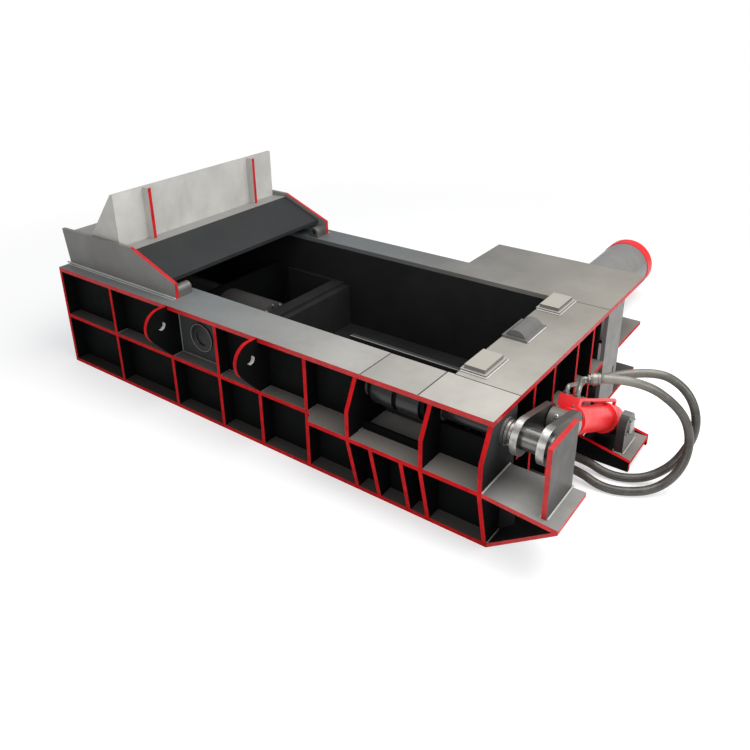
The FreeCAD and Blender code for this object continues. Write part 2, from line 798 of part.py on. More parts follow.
def tower_slope_plate():
    right = TOWER_TOE - 2 * KNUCKLE
    y = (TOWER_NEAR + WEB, TOWER_FAR)
    outline = (
        (TOWER_KNEE, TOWER_TOP_LEFT - WEB),
        (TOWER_SLOPE, slope_height(TOWER_SLOPE, WEB)),
        (right, slope_height(right, WEB)),
        (right, slope_height(right, 2 * WEB)),
        (TOWER_SLOPE, slope_height(TOWER_SLOPE, 2 * WEB)),
        (TOWER_KNEE, TOWER_TOP_LEFT - 2 * WEB),
    )
    return prism("y", y[0], y[1], outline)


def tower_upright():
    z = (TOWER_TOP_LEFT - WEB, UPRIGHT_TOP)
    return box((TOWER_KNEE - WEB, TOWER_KNEE), (TOWER_NEAR + WEB, TOWER_FAR), z)


def tower_gussets():
    """Two triangular webs behind the upright."""
    foot = TOWER_TOP_LEFT - WEB
    back = TOWER_KNEE - WEB
    outline = ((back, foot), (back, UPRIGHT_TOP), (back - UPRIGHT_GUSSET, foot))
    near = prism("y", TOWER_NEAR + WEB, TOWER_NEAR + 2 * WEB, outline)
    far = prism("y", TOWER_FAR - WEB, TOWER_FAR, outline)
    return near, far


def tower_upright_ribs():
    """Two narrow ribs up the front of the upright, standing on the sloping plate."""
    front = TOWER_KNEE + UPRIGHT_RIB
    foot = TOWER_TOP_LEFT - WEB
    rise = (slope_height(TOWER_SLOPE, WEB) - foot) / (TOWER_SLOPE - TOWER_KNEE)
    outline = (
        (TOWER_KNEE, foot),
        (front, foot + rise * UPRIGHT_RIB),
        (front, UPRIGHT_TOP),
        (TOWER_KNEE, UPRIGHT_TOP),
    )
    near = TOWER_NEAR + WEB + UPRIGHT_RIB_SETBACK
    far = TOWER_FAR - UPRIGHT_RIB_SETBACK
    return prism("y", near, near + WEB, outline), prism("y", far - WEB, far, outline)


def tower_rear_plate():
    z = (HEIGHT, TOWER_TOP_LEFT - 2 * WEB)
    return box((REAR, REAR + WEB), (TOWER_NEAR + WEB, TOWER_FAR), z)


def lid_hinge_knuckles():
    x = TOWER_TOE - KNUCKLE
    z = HEIGHT + KNUCKLE
    near = TOWER_NEAR + WEB
    far = TOWER_FAR
    knuckles = []
    for start in (near, far - KNUCKLE_LENGTH):
        end = start + KNUCKLE_LENGTH
        foot = box((x - KNUCKLE, x + KNUCKLE), (start, end), (HEIGHT, z))
        knuckle = foot.fuse(bar("y", start, end, x, z, KNUCKLE))
        knuckles.append(knuckle.cut(bar("y", start, end, x, z, KNUCKLE_BORE)).removeSplitter())
    return knuckles


# ---- turn-out cradle ----


def turn_shaft():
    return shaft_hole(SHAFT_PLATES[0], SHAFT_END, SHAFT)


def cradle_back_plate():
    top = HEIGHT - CRADLE_TOP_DROP
    x = (CRADLE_LEFT, CRADLE_RIGHT)
    return box(x, (CRADLE_BACK, CRADLE_FACE), (FLOOR_TOP - FLOOR, top))


def cradle_floor_plate():
    x = (CRADLE_LEFT, CRADLE_RIGHT)
    return box(x, (CRADLE_FACE, CRADLE_FAR), (FLOOR_TOP - FLOOR, FLOOR_TOP))


def turn_arm(station):
    """An arm plate: a hub round the shaft, webbed up to the flap and out to the cradle's back plate."""
    x = (station - ARM / 2, station + ARM / 2)
    hub = bar("x", x[0], x[1], SHAFT_Y, SHAFT_HEIGHT, ARM_HUB)
    outline = (
        (SHAFT_Y - ARM_HUB, SHAFT_HEIGHT),
        (SHAFT_Y, SHAFT_HEIGHT - ARM_HUB),
        (CRADLE_BACK, WINDOW_BOTTOM + ARM),
        (CRADLE_BACK, UNDER_DECK),
        (SHAFT_Y - ARM_HUB, UNDER_DECK),
    )
    arm = hub.fuse(prism("x", x[0], x[1], outline))
    return arm.cut(shaft_hole(x[0], x[1], SHAFT)).removeSplitter()


def turn_flap():
    x = (FLAP_LEFT, FLAP_RIGHT)
    return box(x, (NEAR_FACE, -FLAP_GAP), (UNDER_DECK, HEIGHT))


def turn_drum():
    """Rolled guard plates between the arms, round the outer side of the shaft."""
    shells = []
    for left, right in zip(ARM_STATIONS[:-1], ARM_STATIONS[1:]):
        x = (left + ARM / 2, right - ARM / 2)
        tube = ring("x", x[0], x[1], SHAFT_Y, SHAFT_HEIGHT, DRUM, DRUM - DRUM_WALL)
        outer = box(x, (SHAFT_Y - DRUM, SHAFT_Y), (SHAFT_HEIGHT - DRUM, UNDER_DECK))
        shells.append(tube.common(outer))
    return shells


def shaft_bush(left, flange_left):
    """A flanged bush pressed in a rib; flange_left is where its flange starts."""
    outer = SHAFT + FIT + BUSH_WALL
    sleeve = bar("x", left, left + WEB, SHAFT_Y, SHAFT_HEIGHT, outer)
    flange_right = flange_left + BUSH_FLANGE
    bush = sleeve.fuse(shaft_hole(flange_left, flange_right, outer + BUSH_RIM))
    ends = (min(left, flange_left), max(left + WEB, flange_right))
    return bush.cut(shaft_hole(ends[0], ends[1], SHAFT + FIT)).removeSplitter()


def shaft_bushes():
    first, middle, last = SHAFT_PLATES
    return (
        shaft_bush(first, first + WEB),
        shaft_bush(middle, middle - BUSH_FLANGE),
        shaft_bush(last, last + WEB),
    )


def teardrop(left, right, big, small):
    """A lever cheek: two round ends joined by their common tangents."""
    angle = math.radians(LEVER_ANGLE)
    spread = math.acos((big - small) / LEVER)
    corners = []
    for side in (1, -1):
        turn = angle + side * spread
        corners.append((SHAFT_Y + big * math.cos(turn), SHAFT_HEIGHT + big * math.sin(turn)))
        corners.append((PIN_Y + small * math.cos(turn), PIN_Z + small * math.sin(turn)))
    outline = (corners[0], corners[1], corners[3], corners[2])
    plate = prism("x", left, right, outline)
    plate = plate.fuse(bar("x", left, right, SHAFT_Y, SHAFT_HEIGHT, big))
    return plate.fuse(bar("x", left, right, PIN_Y, PIN_Z, small)).removeSplitter()


def lever_cheek(left, width):
    plate = teardrop(left, left + width, CHEEK_DISC, CHEEK_TIP)
    plate = plate.cut(shaft_hole(left, left + width, SHAFT))
    return plate.cut(bar("x", left, left + width, PIN_Y, PIN_Z, PIN))


def lever_hub():
    left = CHEEK_ONE + CHEEK_ONE_WIDTH
    return ring("x", left, left + CHEEK_GAP, SHAFT_Y, SHAFT_HEIGHT, HUB, SHAFT)


def lever_pin_ends():
    """The two ends of the lever pin, seated in the cheeks."""
    left = (CHEEK_ONE, CHEEK_ONE + CHEEK_ONE_WIDTH)
    right = (CHEEK_TWO, CHEEK_TWO + CHEEK_TWO_WIDTH)
    one = bar("x", left[0], left[1], PIN_Y, PIN_Z, PIN)
    one = one.fuse(bar("x", left[0] - PIN_HEAD_WIDTH, left[0], PIN_Y, PIN_Z, PIN_HEAD))
    two = bar("x", right[0], right[1], PIN_Y, PIN_Z, PIN)
    two = two.fuse(bar("x", right[1], right[1] + PIN_HEAD_WIDTH, PIN_Y, PIN_Z, PIN_HEAD))
    return one.removeSplitter(), two.removeSplitter()


# ---- turn-out cylinder, drawn from its trunnions towards the lever pin ----

REACH = math.hypot(PIN_Y - TRUNNION_ACROSS, PIN_Z - TRUNNION_HEIGHT)
ALONG = V(0, (PIN_Y - TRUNNION_ACROSS) / REACH, (PIN_Z - TRUNNION_HEIGHT) / REACH)
UPWARD = V(0, ALONG.z, -ALONG.y)
TRUNNION_CENTRE = V(DRIVE_X, TRUNNION_ACROSS, TRUNNION_HEIGHT)
BARREL_FRONT = REACH - TURN_NECK
BARREL_BACK = BARREL_FRONT - TURN_BARREL
PORTS = BARREL_FRONT + TURN_COLLAR_WIDTH / 2


def on_barrel(distance, rise=0.0, aside=0.0):
    return TRUNNION_CENTRE + ALONG * distance + UPWARD * rise + V(aside, 0, 0)


def drive_bar(start, end, radius):
    return Part.makeCylinder(radius, end - start, on_barrel(start), ALONG)


def turn_barrel():
    tube = drive_bar(BARREL_BACK, BARREL_FRONT, TURN_TUBE)
    bore = drive_bar(BARREL_BACK + FLANGE, BARREL_FRONT, TURN_BORE)
    return tube.cut(bore)


def turn_collar():
    """The gland collar on the rod end of the barrel."""
    start = BARREL_FRONT
    collar = drive_bar(start, start + TURN_COLLAR_WIDTH, TURN_COLLAR)
    return collar.cut(drive_bar(start, start + TURN_COLLAR_WIDTH, TURN_ROD + FIT))


def turn_trunnion():
    """A band round the barrel with a stub on each side, in the bearings of the pedestals."""
    half = TRUNNION_BAND / 2
    band = drive_bar(-half, half, TURN_TUBE + TRUNNION_WALL)
    left = END_WALL + SLOT_GAP
    right = PEDESTAL_OUTER + PEDESTAL_WIDTH + TRUNNION_PROUD
    stubs = bar("x", left, right, TRUNNION_ACROSS, TRUNNION_HEIGHT, TRUNNION)
    return band.fuse(stubs).cut(drive_bar(-TURN_BARREL, REACH, TURN_TUBE)).removeSplitter()


def turn_rod():
    start = BARREL_BACK + FLANGE + SLOT_GAP
    rod = drive_bar(start, REACH - ROD_EYE / 2, TURN_ROD)
    rod = rod.fuse(drive_bar(start, start + TURN_PISTON, TURN_BORE - FIT))
    left = DRIVE_X - EYE_WIDTH / 2
    right = DRIVE_X + EYE_WIDTH / 2
    rod = rod.fuse(bar("x", left, right, PIN_Y, PIN_Z, ROD_EYE))
    return rod.cut(bar("x", left, right, PIN_Y, PIN_Z, PIN)).removeSplitter()


def rod_eye_pin():
    half = CHEEK_GAP / 2 - EYE_SIDE_GAP / 2
    return bar("x", DRIVE_X - half, DRIVE_X + half, PIN_Y, PIN_Z, PIN)


def pedestal(left, right):
    """A bearing block for one trunnion: a round head, upright in front and flared behind."""
    centre = (TRUNNION_ACROSS, TRUNNION_HEIGHT)
    near = TRUNNION_ACROSS - PEDESTAL_ROUND
    far = (TRUNNION_ACROSS + PEDESTAL_FOOT, FOOT_HEIGHT)
    flank = touch(centre, PEDESTAL_ROUND, far, 1)
    outline = ((near, FOOT_HEIGHT), far, flank, (near, TRUNNION_HEIGHT))
    block = prism("x", left, right, outline)
    block = block.fuse(bar("x", left, right, centre[0], centre[1], PEDESTAL_ROUND))
    hole = bar("x", left, right, centre[0], centre[1], TRUNNION + FIT)
    return block.cut(hole).removeSplitter()


def trunnion_pedestals():
    """The block on the end wall's side and the one outside the barrel."""
    inner = pedestal(END_WALL, PEDESTAL_INNER)
    outer = pedestal(PEDESTAL_OUTER, PEDESTAL_OUTER + PEDESTAL_WIDTH)
    return inner, outer


# ---- shelf, bearing plate and far foot ----


def shelf_plate():
    outline = (
        (END_WALL, BULGE_FACE),
        (SHELF_END, BULGE_FACE - SHELF_FLARE),
        (SHELF_END, -SHELF_BACK),
        (END_WALL, -SHELF_BACK),
    )
    return prism("z", UNDER_RAIL, RAIL_TOP, outline)


def shelf_brace():
    """The sloping plate from the foot of the end plate out to the shelf's outer edge."""
    profile = (
        (END_WALL, 0),
        (END_WALL, WEB),
        (SHELF_END - WEB, UNDER_RAIL),
        (SHELF_END, UNDER_RAIL),
    )
    plan = (
        (END_WALL, NEAR_FACE),
        (SHELF_END, BULGE_FACE - SHELF_FLARE),
        (SHELF_END, -SHELF_BACK),
        (END_WALL, -SHELF_BACK),
    )
    slab = prism("y", BULGE_FACE - SHELF_FLARE, -SHELF_BACK, profile)
    return slab.common(prism("z", 0, UNDER_RAIL, plan))


def shelf_rib():
    """A web under the shelf, across the space between it and the sloping plate."""
    slope = (UNDER_RAIL - WEB) / (SHELF_REACH - WEB)
    x = END_WALL + SHELF_RIB
    low = WEB + slope * SHELF_RIB
    outline = (
        (END_WALL, UNDER_RAIL),
        (x, UNDER_RAIL),
        (x, low),
        (END_WALL, WEB),
    )
    back = -SHELF_BACK - SHELF_RIB_SETBACK
    return prism("y", back - WEB, back, outline)


def bearing_plate():
    x = (BEARING_PLATE, BEARING_PLATE + WEB)
    return box(x, (BULGE_FACE, -SHELF_BACK), (RAIL_TOP, BEARING_TOP))


def flange_bearing():
    x = (BEARING_PLATE - FLANGE_BEARING, BEARING_PLATE)
    body = shaft_hole(x[0], x[1], FLANGE_BEARING_BODY)
    rim = shaft_hole(BEARING_PLATE - BUSH_FLANGE, BEARING_PLATE, FLANGE_BEARING_RIM)
    return body.fuse(rim).cut(shaft_hole(x[0], x[1], SHAFT + FIT)).removeSplitter()


def far_foot():
    """Two tapered side plates with a shelf under each pedestal; the barrel tips between them."""
    near = FOOT_START
    far = FOOT_START + FOOT_LENGTH
    profile = ((END_WALL, 0), (FOOT_END, 0), (FOOT_END, FOOT_HEIGHT), (END_WALL, FOOT_ROOT))
    sides = [prism("y", start, start + WEB, profile) for start in (near, far - WEB)]
    y = (near + WEB, far - WEB)
    z = (FOOT_HEIGHT - WEB, FOOT_HEIGHT)
    shelves = [box(x, y, z) for x in ((END_WALL, PEDESTAL_INNER), (PEDESTAL_OUTER, FOOT_END))]
    return sides + shelves


# ---- hoses and pipes ----


def tube_along(points, radius, label):
    """A round tube along straight runs joined by tangent arcs; it prints its own proof."""
    corners = [V(*p) for p in points]
    edges = []
    bends = []
    last = corners[0]
    for a, b, c in zip(corners[:-2], corners[1:-1], corners[2:]):
        into = (b - a).normalize()
        out = (c - b).normalize()
        half = into.getAngle(out) / 2
        bend = BEND_SHARE * min((b - a).Length, (c - b).Length) / math.tan(half)
        back = bend * math.tan(half)
        start = b - into * back
        end = b + out * back
        inward = (out - into).normalize()
        middle = b + inward * (bend / math.cos(half) - bend)
        edges.append(Part.LineSegment(last, start).toShape())
        edges.append(Part.Arc(start, middle, end).toShape())
        bends.append(bend)
        last = end
    edges.append(Part.LineSegment(last, corners[-1]).toShape())
    wire = Part.Wire(edges)
    first = (corners[1] - corners[0]).normalize()
    section = Part.Wire([Part.makeCircle(radius, corners[0], first)])
    tube = wire.makePipeShell([section], True, True)
    ratio = tube.Volume / (math.pi * radius**2 * wire.Length)
    radii = ", ".join("%.0f" % bend for bend in bends)
    print(label, "length %.0f," % wire.Length, "volume ratio %.4f," % ratio, "bends", radii)
    return tube


def ferrule(route):
    """The crimped end of a hose, lying straight behind its first run."""
    start = V(*route[0])
    line = (start - V(*route[1])).normalize()
    return Part.makeCylinder(FERRULE, FERRULE_LENGTH, start, line)


def ferrule_back(route):
    start = V(*route[0])
    line = (start - V(*route[1])).normalize()
    return start + line * FERRULE_LENGTH


def elbow(route, port):
    """A bent steel end from a port on the block up to the back of a hose's ferrule."""
    back = ferrule_back(route)
    line = (V(*route[1]) - V(*route[0])).normalize()
    knee = port + UPWARD * ELBOW_RISE
    shoulder = back - line * ELBOW_RUN
    return tube_along([tuple(port), tuple(knee), tuple(shoulder), tuple(back)], ELBOW, "elbow")


def port(aside):
    """The top of the port block, by its place across the barrel."""
    return on_barrel(PORTS, PORT_TOP, aside)


def port_block():
    """The block that both hoses are screwed to, hollowed to sit on the gland collar."""
    edge = PORT_BLOCK / 2
    low = on_barrel(PORTS + edge, TURN_COLLAR - PORT_SINK, -PORT_SPACING - edge)
    height = PORT_TOP - TURN_COLLAR + PORT_SINK
    block = Part.makeBox(PORT_SPACING + PORT_BLOCK, PORT_BLOCK, height)
    block.Placement = FreeCAD.Placement(low, FreeCAD.Rotation(V(0, 0, 1), UPWARD))
    return block.cut(drive_bar(0, REACH, TURN_COLLAR)).removeSplitter()


def hard_pipe():
    """The rigid pipe from the port block along the barrel to its tail port."""
    rise = PORT_TOP - HARD_PIPE - PIPE_DROP
    tail = BARREL_BACK + PIPE_SETBACK
    points = [
        on_barrel(PORTS - PORT_BLOCK / 2, rise),
        on_barrel(tail, rise),
        on_barrel(tail, TURN_TUBE - PIPE_DROP),
    ]
    pipe = tube_along([tuple(p) for p in points], HARD_PIPE, "hard pipe")
    return pipe.cut(drive_bar(BARREL_BACK, BARREL_FRONT, TURN_TUBE))


def bulkhead(route):
    """The fitting in the end wall that a hose's far end is screwed to."""
    x, y, z = route[-1]
    return bar("x", END_WALL - BAY_DEPTH, x, y, z, BULKHEAD)


def write_near_wall():
    save("near_skin", near_skin())
    save("near_top_plates", *near_top_plates())
    save("near_ribs", *near_upper_ribs(), *near_lower_ribs())
    save("near_lug_ribs", *[lug_rib(s) for s in LUG_STATIONS])
    save("shaft_ribs", *[upper_bulge_rib(left) for left in SHAFT_PLATES])
    save("cover_ring", cover_ring())


def write_end_wall():
    save("end_skin", end_skin())
    save("end_ribs", *end_ribs((WEB, UNDER_RAIL)), *end_ribs((RAIL_TOP, UNDER_DECK)))
    save("end_top_plate", end_top_plate())
    save("end_pads", pad(NEAR_PAD), pad(FAR_PAD))
    save("half_round_block", half_round_block())


def write_far_side():
    save("far_skin", far_skin())
    save("far_ribs", *far_ribs((WEB, UNDER_RAIL)), *far_ribs((RAIL_TOP, UNDER_DECK)))
    save("far_top_plate", far_top_plate())
    save("housing_top_plate", housing_top_plate())
    save("housing_plates", *housing_side_plates(), housing_rear_plate(), corner_panel())


def write_shared_plates():
    save("base_plate", base_plate())
    save("floor_plates", chamber_floor(), housing_floor())
    save("floor_beams", *floor_beams())
    save("mid_rails", near_mid_rail(), end_mid_rail(), far_mid_rail(), housing_mid_rail())
    panels = near_back_panels() + end_back_panels() + far_back_panels()
    save("bay_panels", *panels, cover_plate())
    save("rear_plate", rear_plate())


def write_rams():
    save("side_ram_face", side_ram_face())
    save("side_ram_body", side_ram_body())
    save("side_rod", side_rod())
    save("side_cylinder", side_cylinder())
    save("side_cylinder_cap", side_cylinder_cap())
    save("main_ram_head", main_ram_head())
    save("main_ram_guides", *main_ram_guides())
    save("main_rod", main_rod())
    save("main_cylinder", main_cylinder())
    mounts = main_cylinder_cap(), main_saddle(), side_cylinder_flange()
    save("cylinder_mounts", *mounts)


def write_tower():
    save("tower_cheeks", tower_cheek(TOWER_NEAR), tower_cheek(TOWER_FAR))
    save("tower_deck", tower_top_plate(), tower_slope_plate(), tower_rear_plate())
    save("tower_upright", tower_upright(), *tower_gussets(), *tower_upright_ribs())
    save("lid_hinge_knuckles", *lid_hinge_knuckles())


def write_turn_out():
    save("turn_shaft", turn_shaft())
    save("shaft_bushes", *shaft_bushes())
    save("turn_arms", *[turn_arm(s) for s in ARM_STATIONS])
    save("turn_drum", *turn_drum())
    save("turn_flap", turn_flap())
    save("cradle_back_plate", cradle_back_plate())
    save("cradle_floor_plate", cradle_floor_plate())
    cheek_one = lever_cheek(CHEEK_ONE, CHEEK_ONE_WIDTH)
    save("lever_cheeks", cheek_one, lever_cheek(CHEEK_TWO, CHEEK_TWO_WIDTH))
    save("lever_hub", lever_hub())
    save("lever_pin_ends", *lever_pin_ends())


def write_turn_drive():
    save("shelf", shelf_plate(), shelf_brace(), shelf_rib())
    save("bearing_plate", bearing_plate(), flange_bearing())
    save("far_foot", *far_foot())
    save("trunnion_pedestals", *trunnion_pedestals())
    save("turn_barrel", turn_barrel(), turn_collar())
    save("turn_trunnion", turn_trunnion())
    save("turn_rod", turn_rod())
    save("rod_eye_pin", rod_eye_pin())


def write_hoses():
    save("hose_one", tube_along(HOSE_ONE, HOSE, "hose one"))
    save("hose_two", tube_along(HOSE_TWO, HOSE, "hose two"))
    ends = ferrule(HOSE_ONE), ferrule(HOSE_TWO)
    bend_one = elbow(HOSE_ONE, port(0))
    bend_two = elbow(HOSE_TWO, port(-PORT_SPACING))
    save("turn_fittings", *ends, bend_one, bend_two)
    save("port_blocks", port_block(), hard_pipe())
    save("bulkheads", bulkhead(HOSE_ONE), bulkhead(HOSE_TWO))


write_near_wall()
write_end_wall()
write_far_side()
write_shared_plates()
write_rams()
write_tower()
write_turn_out()
write_turn_drive()
write_hoses()
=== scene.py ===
"""Scene of the metal baling press with its turn-out cradle.

It gives the CAD nodes their finishes, adds the small fastenings, welds and hoses, and sets the
floor, the light and the camera. Lengths are metres in the frame of the CAD part: X runs to the
turn-out end, Y from the near wall to the far wall, and Z up from the floor.
"""

import math

import bmesh
import bpy
from mathutils import Matrix, Vector

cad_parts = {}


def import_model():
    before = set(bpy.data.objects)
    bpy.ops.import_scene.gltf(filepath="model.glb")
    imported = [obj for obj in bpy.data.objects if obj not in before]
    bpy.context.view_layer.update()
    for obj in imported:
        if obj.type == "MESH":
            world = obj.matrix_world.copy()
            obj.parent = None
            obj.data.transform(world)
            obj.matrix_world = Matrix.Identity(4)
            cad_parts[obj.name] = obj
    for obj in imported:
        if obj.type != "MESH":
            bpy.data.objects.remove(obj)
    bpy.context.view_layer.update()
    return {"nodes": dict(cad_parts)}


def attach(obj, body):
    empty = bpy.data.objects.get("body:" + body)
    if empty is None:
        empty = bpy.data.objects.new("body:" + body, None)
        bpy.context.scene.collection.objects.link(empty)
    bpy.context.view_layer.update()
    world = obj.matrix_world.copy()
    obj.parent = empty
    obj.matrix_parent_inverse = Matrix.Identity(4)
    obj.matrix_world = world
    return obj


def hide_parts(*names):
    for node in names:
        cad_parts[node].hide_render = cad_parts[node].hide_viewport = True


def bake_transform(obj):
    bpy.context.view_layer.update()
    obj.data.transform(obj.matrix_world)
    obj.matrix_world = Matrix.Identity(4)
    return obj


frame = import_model()
nodes = frame["nodes"]

# ------------------------------------------------------------------ places and directions

NEAR = -0.288  # outer edges of the near wall
FAR = 1.430  # outer edges of the far wall
END = 0.376  # outer edges of the end wall
BULGE = -0.369  # near edge of the bulge round the turn-out shaft
SHELF_END = 0.781
FOOT_END = 0.750
RIBS = (-2.514, -1.939, -1.504, -1.159, -0.794, -0.439)  # near ribs on the mid rail, along X
SHAFT = (-0.145, 0.625)  # turn-out shaft, as Y and Z
LUG_HOLE = (-0.350, 0.632)
ROD_PIN = (0.14965, 0.58044)
TRUNNION = Vector((0.526, 0.872, 0.215))

UP = (0, 0, 1)
NEARWARD = (0, -1, 0)
FARWARD = (0, 1, 0)
ENDWARD = (1, 0, 0)
ALONG = Vector((0.0, -0.8923, 0.4514))  # along the turn-out barrel, towards the rod
UPWARD = Vector((0.0, 0.4514, 0.8923))  # square to the barrel

# ------------------------------------------------------------------ camera

CAMERA_PLACE = (1.7100, -3.0363, 2.7327)
CAMERA_RIGHT = (0.8097018, 0.58674784, -0.01048619)
CAMERA_DOWN = (0.2327394, -0.33747727, -0.91210825)
CAMERA_AHEAD = (-0.5387164, 0.73609515, -0.40981529)
CAMERA_LENS = 36.56
CAMERA_SENSOR = 36.0
CAMERA_SHIFT = (0.0, -0.1)
CAMERA_REACH = 60.0


def make_camera():
    data = bpy.data.cameras.new("camera")
    data.sensor_fit = "HORIZONTAL"
    data.sensor_width = CAMERA_SENSOR
    data.lens = CAMERA_LENS
    data.shift_x, data.shift_y = CAMERA_SHIFT
    data.clip_end = CAMERA_REACH
    camera = bpy.data.objects.new("camera", data)
    bpy.context.scene.collection.objects.link(camera)
    right = Vector(CAMERA_RIGHT)
    up = -Vector(CAMERA_DOWN)
    back = -Vector(CAMERA_AHEAD)
    turn = Matrix((right, up, back)).transposed().to_4x4()
    camera.matrix_world = Matrix.Translation(CAMERA_PLACE) @ turn
    bpy.context.scene.camera = camera


# ------------------------------------------------------------------ shader helpers

# Least cosine between a face's normal and the way that it looks
LEVEL = 0.999
SLOPING = 0.95
SQUARE_ON = 0.9
SLANTING = 0.3

# Parts of a noise's range that a ramp stretches to its whole height
BLOTCHES = (0.35, 0.7)
MIDDLE = (0.3, 0.7)
WIDE = (0.25, 0.75)


class Nodes:
    """Adds nodes to a node tree and wires them."""

    def __init__(self, tree):
        self.tree = tree
        self.tree.nodes.clear()

    def new(self, kind, **settings):
        node = self.tree.nodes.new(kind)
        for key, value in settings.items():
            setattr(node, key, value)
        return node

    def put(self, socket, value):
        """Links a socket to another one, or gives it a constant."""
        if isinstance(value, bpy.types.NodeSocket):
            self.tree.links.new(value, socket)
        elif isinstance(value, tuple) and len(value) == 3 and socket.type == "RGBA":
            socket.default_value = (*value, 1.0)
        else:
            socket.default_value = value

    def wired(self, kind, inputs, output=0, **settings):
        """One output of a new node whose inputs are given by name or number."""
        node = self.new(kind, **settings)
        for key, value in inputs.items():
            self.put(node.inputs[key], value)
        return node.outputs[output]

    def mix_surfaces(self, amount, first, second):
        return self.wired("ShaderNodeMixShader", {0: amount, 1: first, 2: second})

    def seen_by_camera(self):
        return self.new("ShaderNodeLightPath").outputs["Is Camera Ray"]

    def close(self, kind, surface):
        """Ends the tree with an output node."""
        self.put(self.new(kind).inputs["Surface"], surface)


class Shader(Nodes):
    """Builds one procedural material, node by node."""

    def __init__(self, name):
        self.material = bpy.data.materials.new(name)
        self.material.use_nodes = True
        super().__init__(self.material.node_tree)
        coords = self.new("ShaderNodeTexCoord")
        self.place = coords.outputs["Object"]
        self.normal = coords.outputs["Normal"]

    def math(self, operation, *values):
        return self.wired("ShaderNodeMath", dict(enumerate(values)), operation=operation)

    def mix(self, amount, first, second):
        inputs = {"Factor": amount, "A": first, "B": second}
        return self.wired("ShaderNodeMix", inputs, "Result", data_type="RGBA")

    def times(self, color, amount):
        inputs = {0: color, "Scale": amount}
        return self.wired("ShaderNodeVectorMath", inputs, "Vector", operation="SCALE")

    def noise(self, scale, detail=4.0, rough=0.55, stretch=None):
        place = self.place
        if stretch:
            place = self.wired("ShaderNodeMapping", {"Vector": place, "Scale": stretch}, "Vector")
        inputs = {"Vector": place, "Scale": scale, "Detail": detail, "Roughness": rough}
        return self.wired("ShaderNodeTexNoise", inputs, "Fac")

    def ramp(self, value, start, end, low=0.0, high=1.0):
        inputs = {"Value": value, "From Min": start, "From Max": end, "To Min": low, "To Max": high}
        return self.wired("ShaderNodeMapRange", inputs, "Result", clamp=True)

    def patches(self, noise, span=BLOTCHES, most=1.0):
        """Soft patches: 0 in the hollows of a noise, and the most on its peaks."""
        return self.ramp(noise, *span, 0.0, most)

    def sheen(self, noise, roughness):
        """Roughness that follows the middle of a noise's range."""
        return self.ramp(noise, *MIDDLE, *roughness)

    def axis(self, name):
        return self.wired("ShaderNodeSeparateXYZ", {0: self.place}, name)

    def graded(self, color, name, span, levels):
        """A colour that grows lighter or darker along an axis."""
        return self.times(color, self.ramp(self.axis(name), *span, *levels))

    def facing(self, toward):
        inputs = {0: self.normal, 1: Vector(toward).normalized()}
        return self.wired("ShaderNodeVectorMath", inputs, "Value", operation="DOT_PRODUCT")

    def within(self, name, low, high):
        """1 between two places along an axis, else 0. None leaves that side open."""
        place = self.axis(name)
        mask = 1.0
        if low is not None:
            mask = self.math("GREATER_THAN", place, low)
        if high is not None:
            mask = self.math("MULTIPLY", mask, self.math("LESS_THAN", place, high))
        return mask

    def region(self, toward, least=SQUARE_ON, x=None, y=None, z=None):
        """1 on faces that look one way inside a range of places, else 0."""
        mask = self.math("GREATER_THAN", self.facing(toward), least)
        for name, span in (("X", x), ("Y", y), ("Z", z)):
            if span:
                mask = self.math("MULTIPLY", mask, self.within(name, *span))
        return mask

    def about(self, y, z, radius):
        """1 inside a cylinder about a line along X, else 0."""
        across = self.math("SUBTRACT", self.axis("Y"), y)
        up = self.math("SUBTRACT", self.axis("Z"), z)
        square = self.math(
            "ADD", self.math("MULTIPLY", across, across), self.math("MULTIPLY", up, up)
        )
        return self.math("LESS_THAN", square, radius**2)

    def unless(self, mask, other):
        """A mask with another mask cut out of it."""
        return self.math("MULTIPLY", mask, self.math("SUBTRACT", 1.0, other))

    def bump(self, height, strength, distance):
        inputs = {"Strength": strength, "Distance": distance, "Height": height}
        return self.wired("ShaderNodeBump", inputs, "Normal")

    def finish(self, color, roughness, metallic=0.0, normal=None, level=0.5):
        """Ends the material; level is the strength of its reflection."""
        inputs = {
            "Base Color": color,
            "Roughness": roughness,
            "Metallic": metallic,
            "Specular IOR Level": level,
        }
        if normal:
            inputs["Normal"] = normal
        surface = self.wired("ShaderNodeBsdfPrincipled", inputs)
        self.close("ShaderNodeOutputMaterial", surface)
        return self.material


# ------------------------------------------------------------------ paint

RED = (0.56, 0.010, 0.012)
RED_DEEP = (0.40, 0.007, 0.009)
LIGHT = (0.36, 0.35, 0.33)
SLATE = (0.0046, 0.0050, 0.0051)
MILL = (0.016, 0.016, 0.0155)

BROAD_DETAIL = 3.0
BROAD_SHADE = 0.78
SMEARS = dict(scale=9.0, detail=6.0, rough=0.65, stretch=(1.0, 1.0, 0.35))
SPECKS = dict(scale=70.0, detail=6.0, rough=0.7)
# Layers of wear: a noise, the part of it that shows, how strongly, and the paint's shade there
WEAR = ((SMEARS, (0.52, 0.75), 0.3, 0.55), (SPECKS, (0.60, 0.75), 0.25, 0.45))

RED_MOTTLE_SCALE = 18.0
RED_MOTTLE_SPAN = (0.35, 0.65)
PAINT_SHEEN = dict(scale=11.0, detail=5.0)
PAINT_ROUGHNESS = (0.34, 0.5)
PAINT_LEVEL = 0.4  # strength of the paint's reflection
PAINT_SKIN = dict(scale=260.0, detail=2.0)
PAINT_WAVES = dict(scale=24.0, detail=3.0)
PAINT_RELIEF = dict(strength=0.12, distance=0.0006)


def tint(color, amount):
    return tuple(amount * part for part in color)


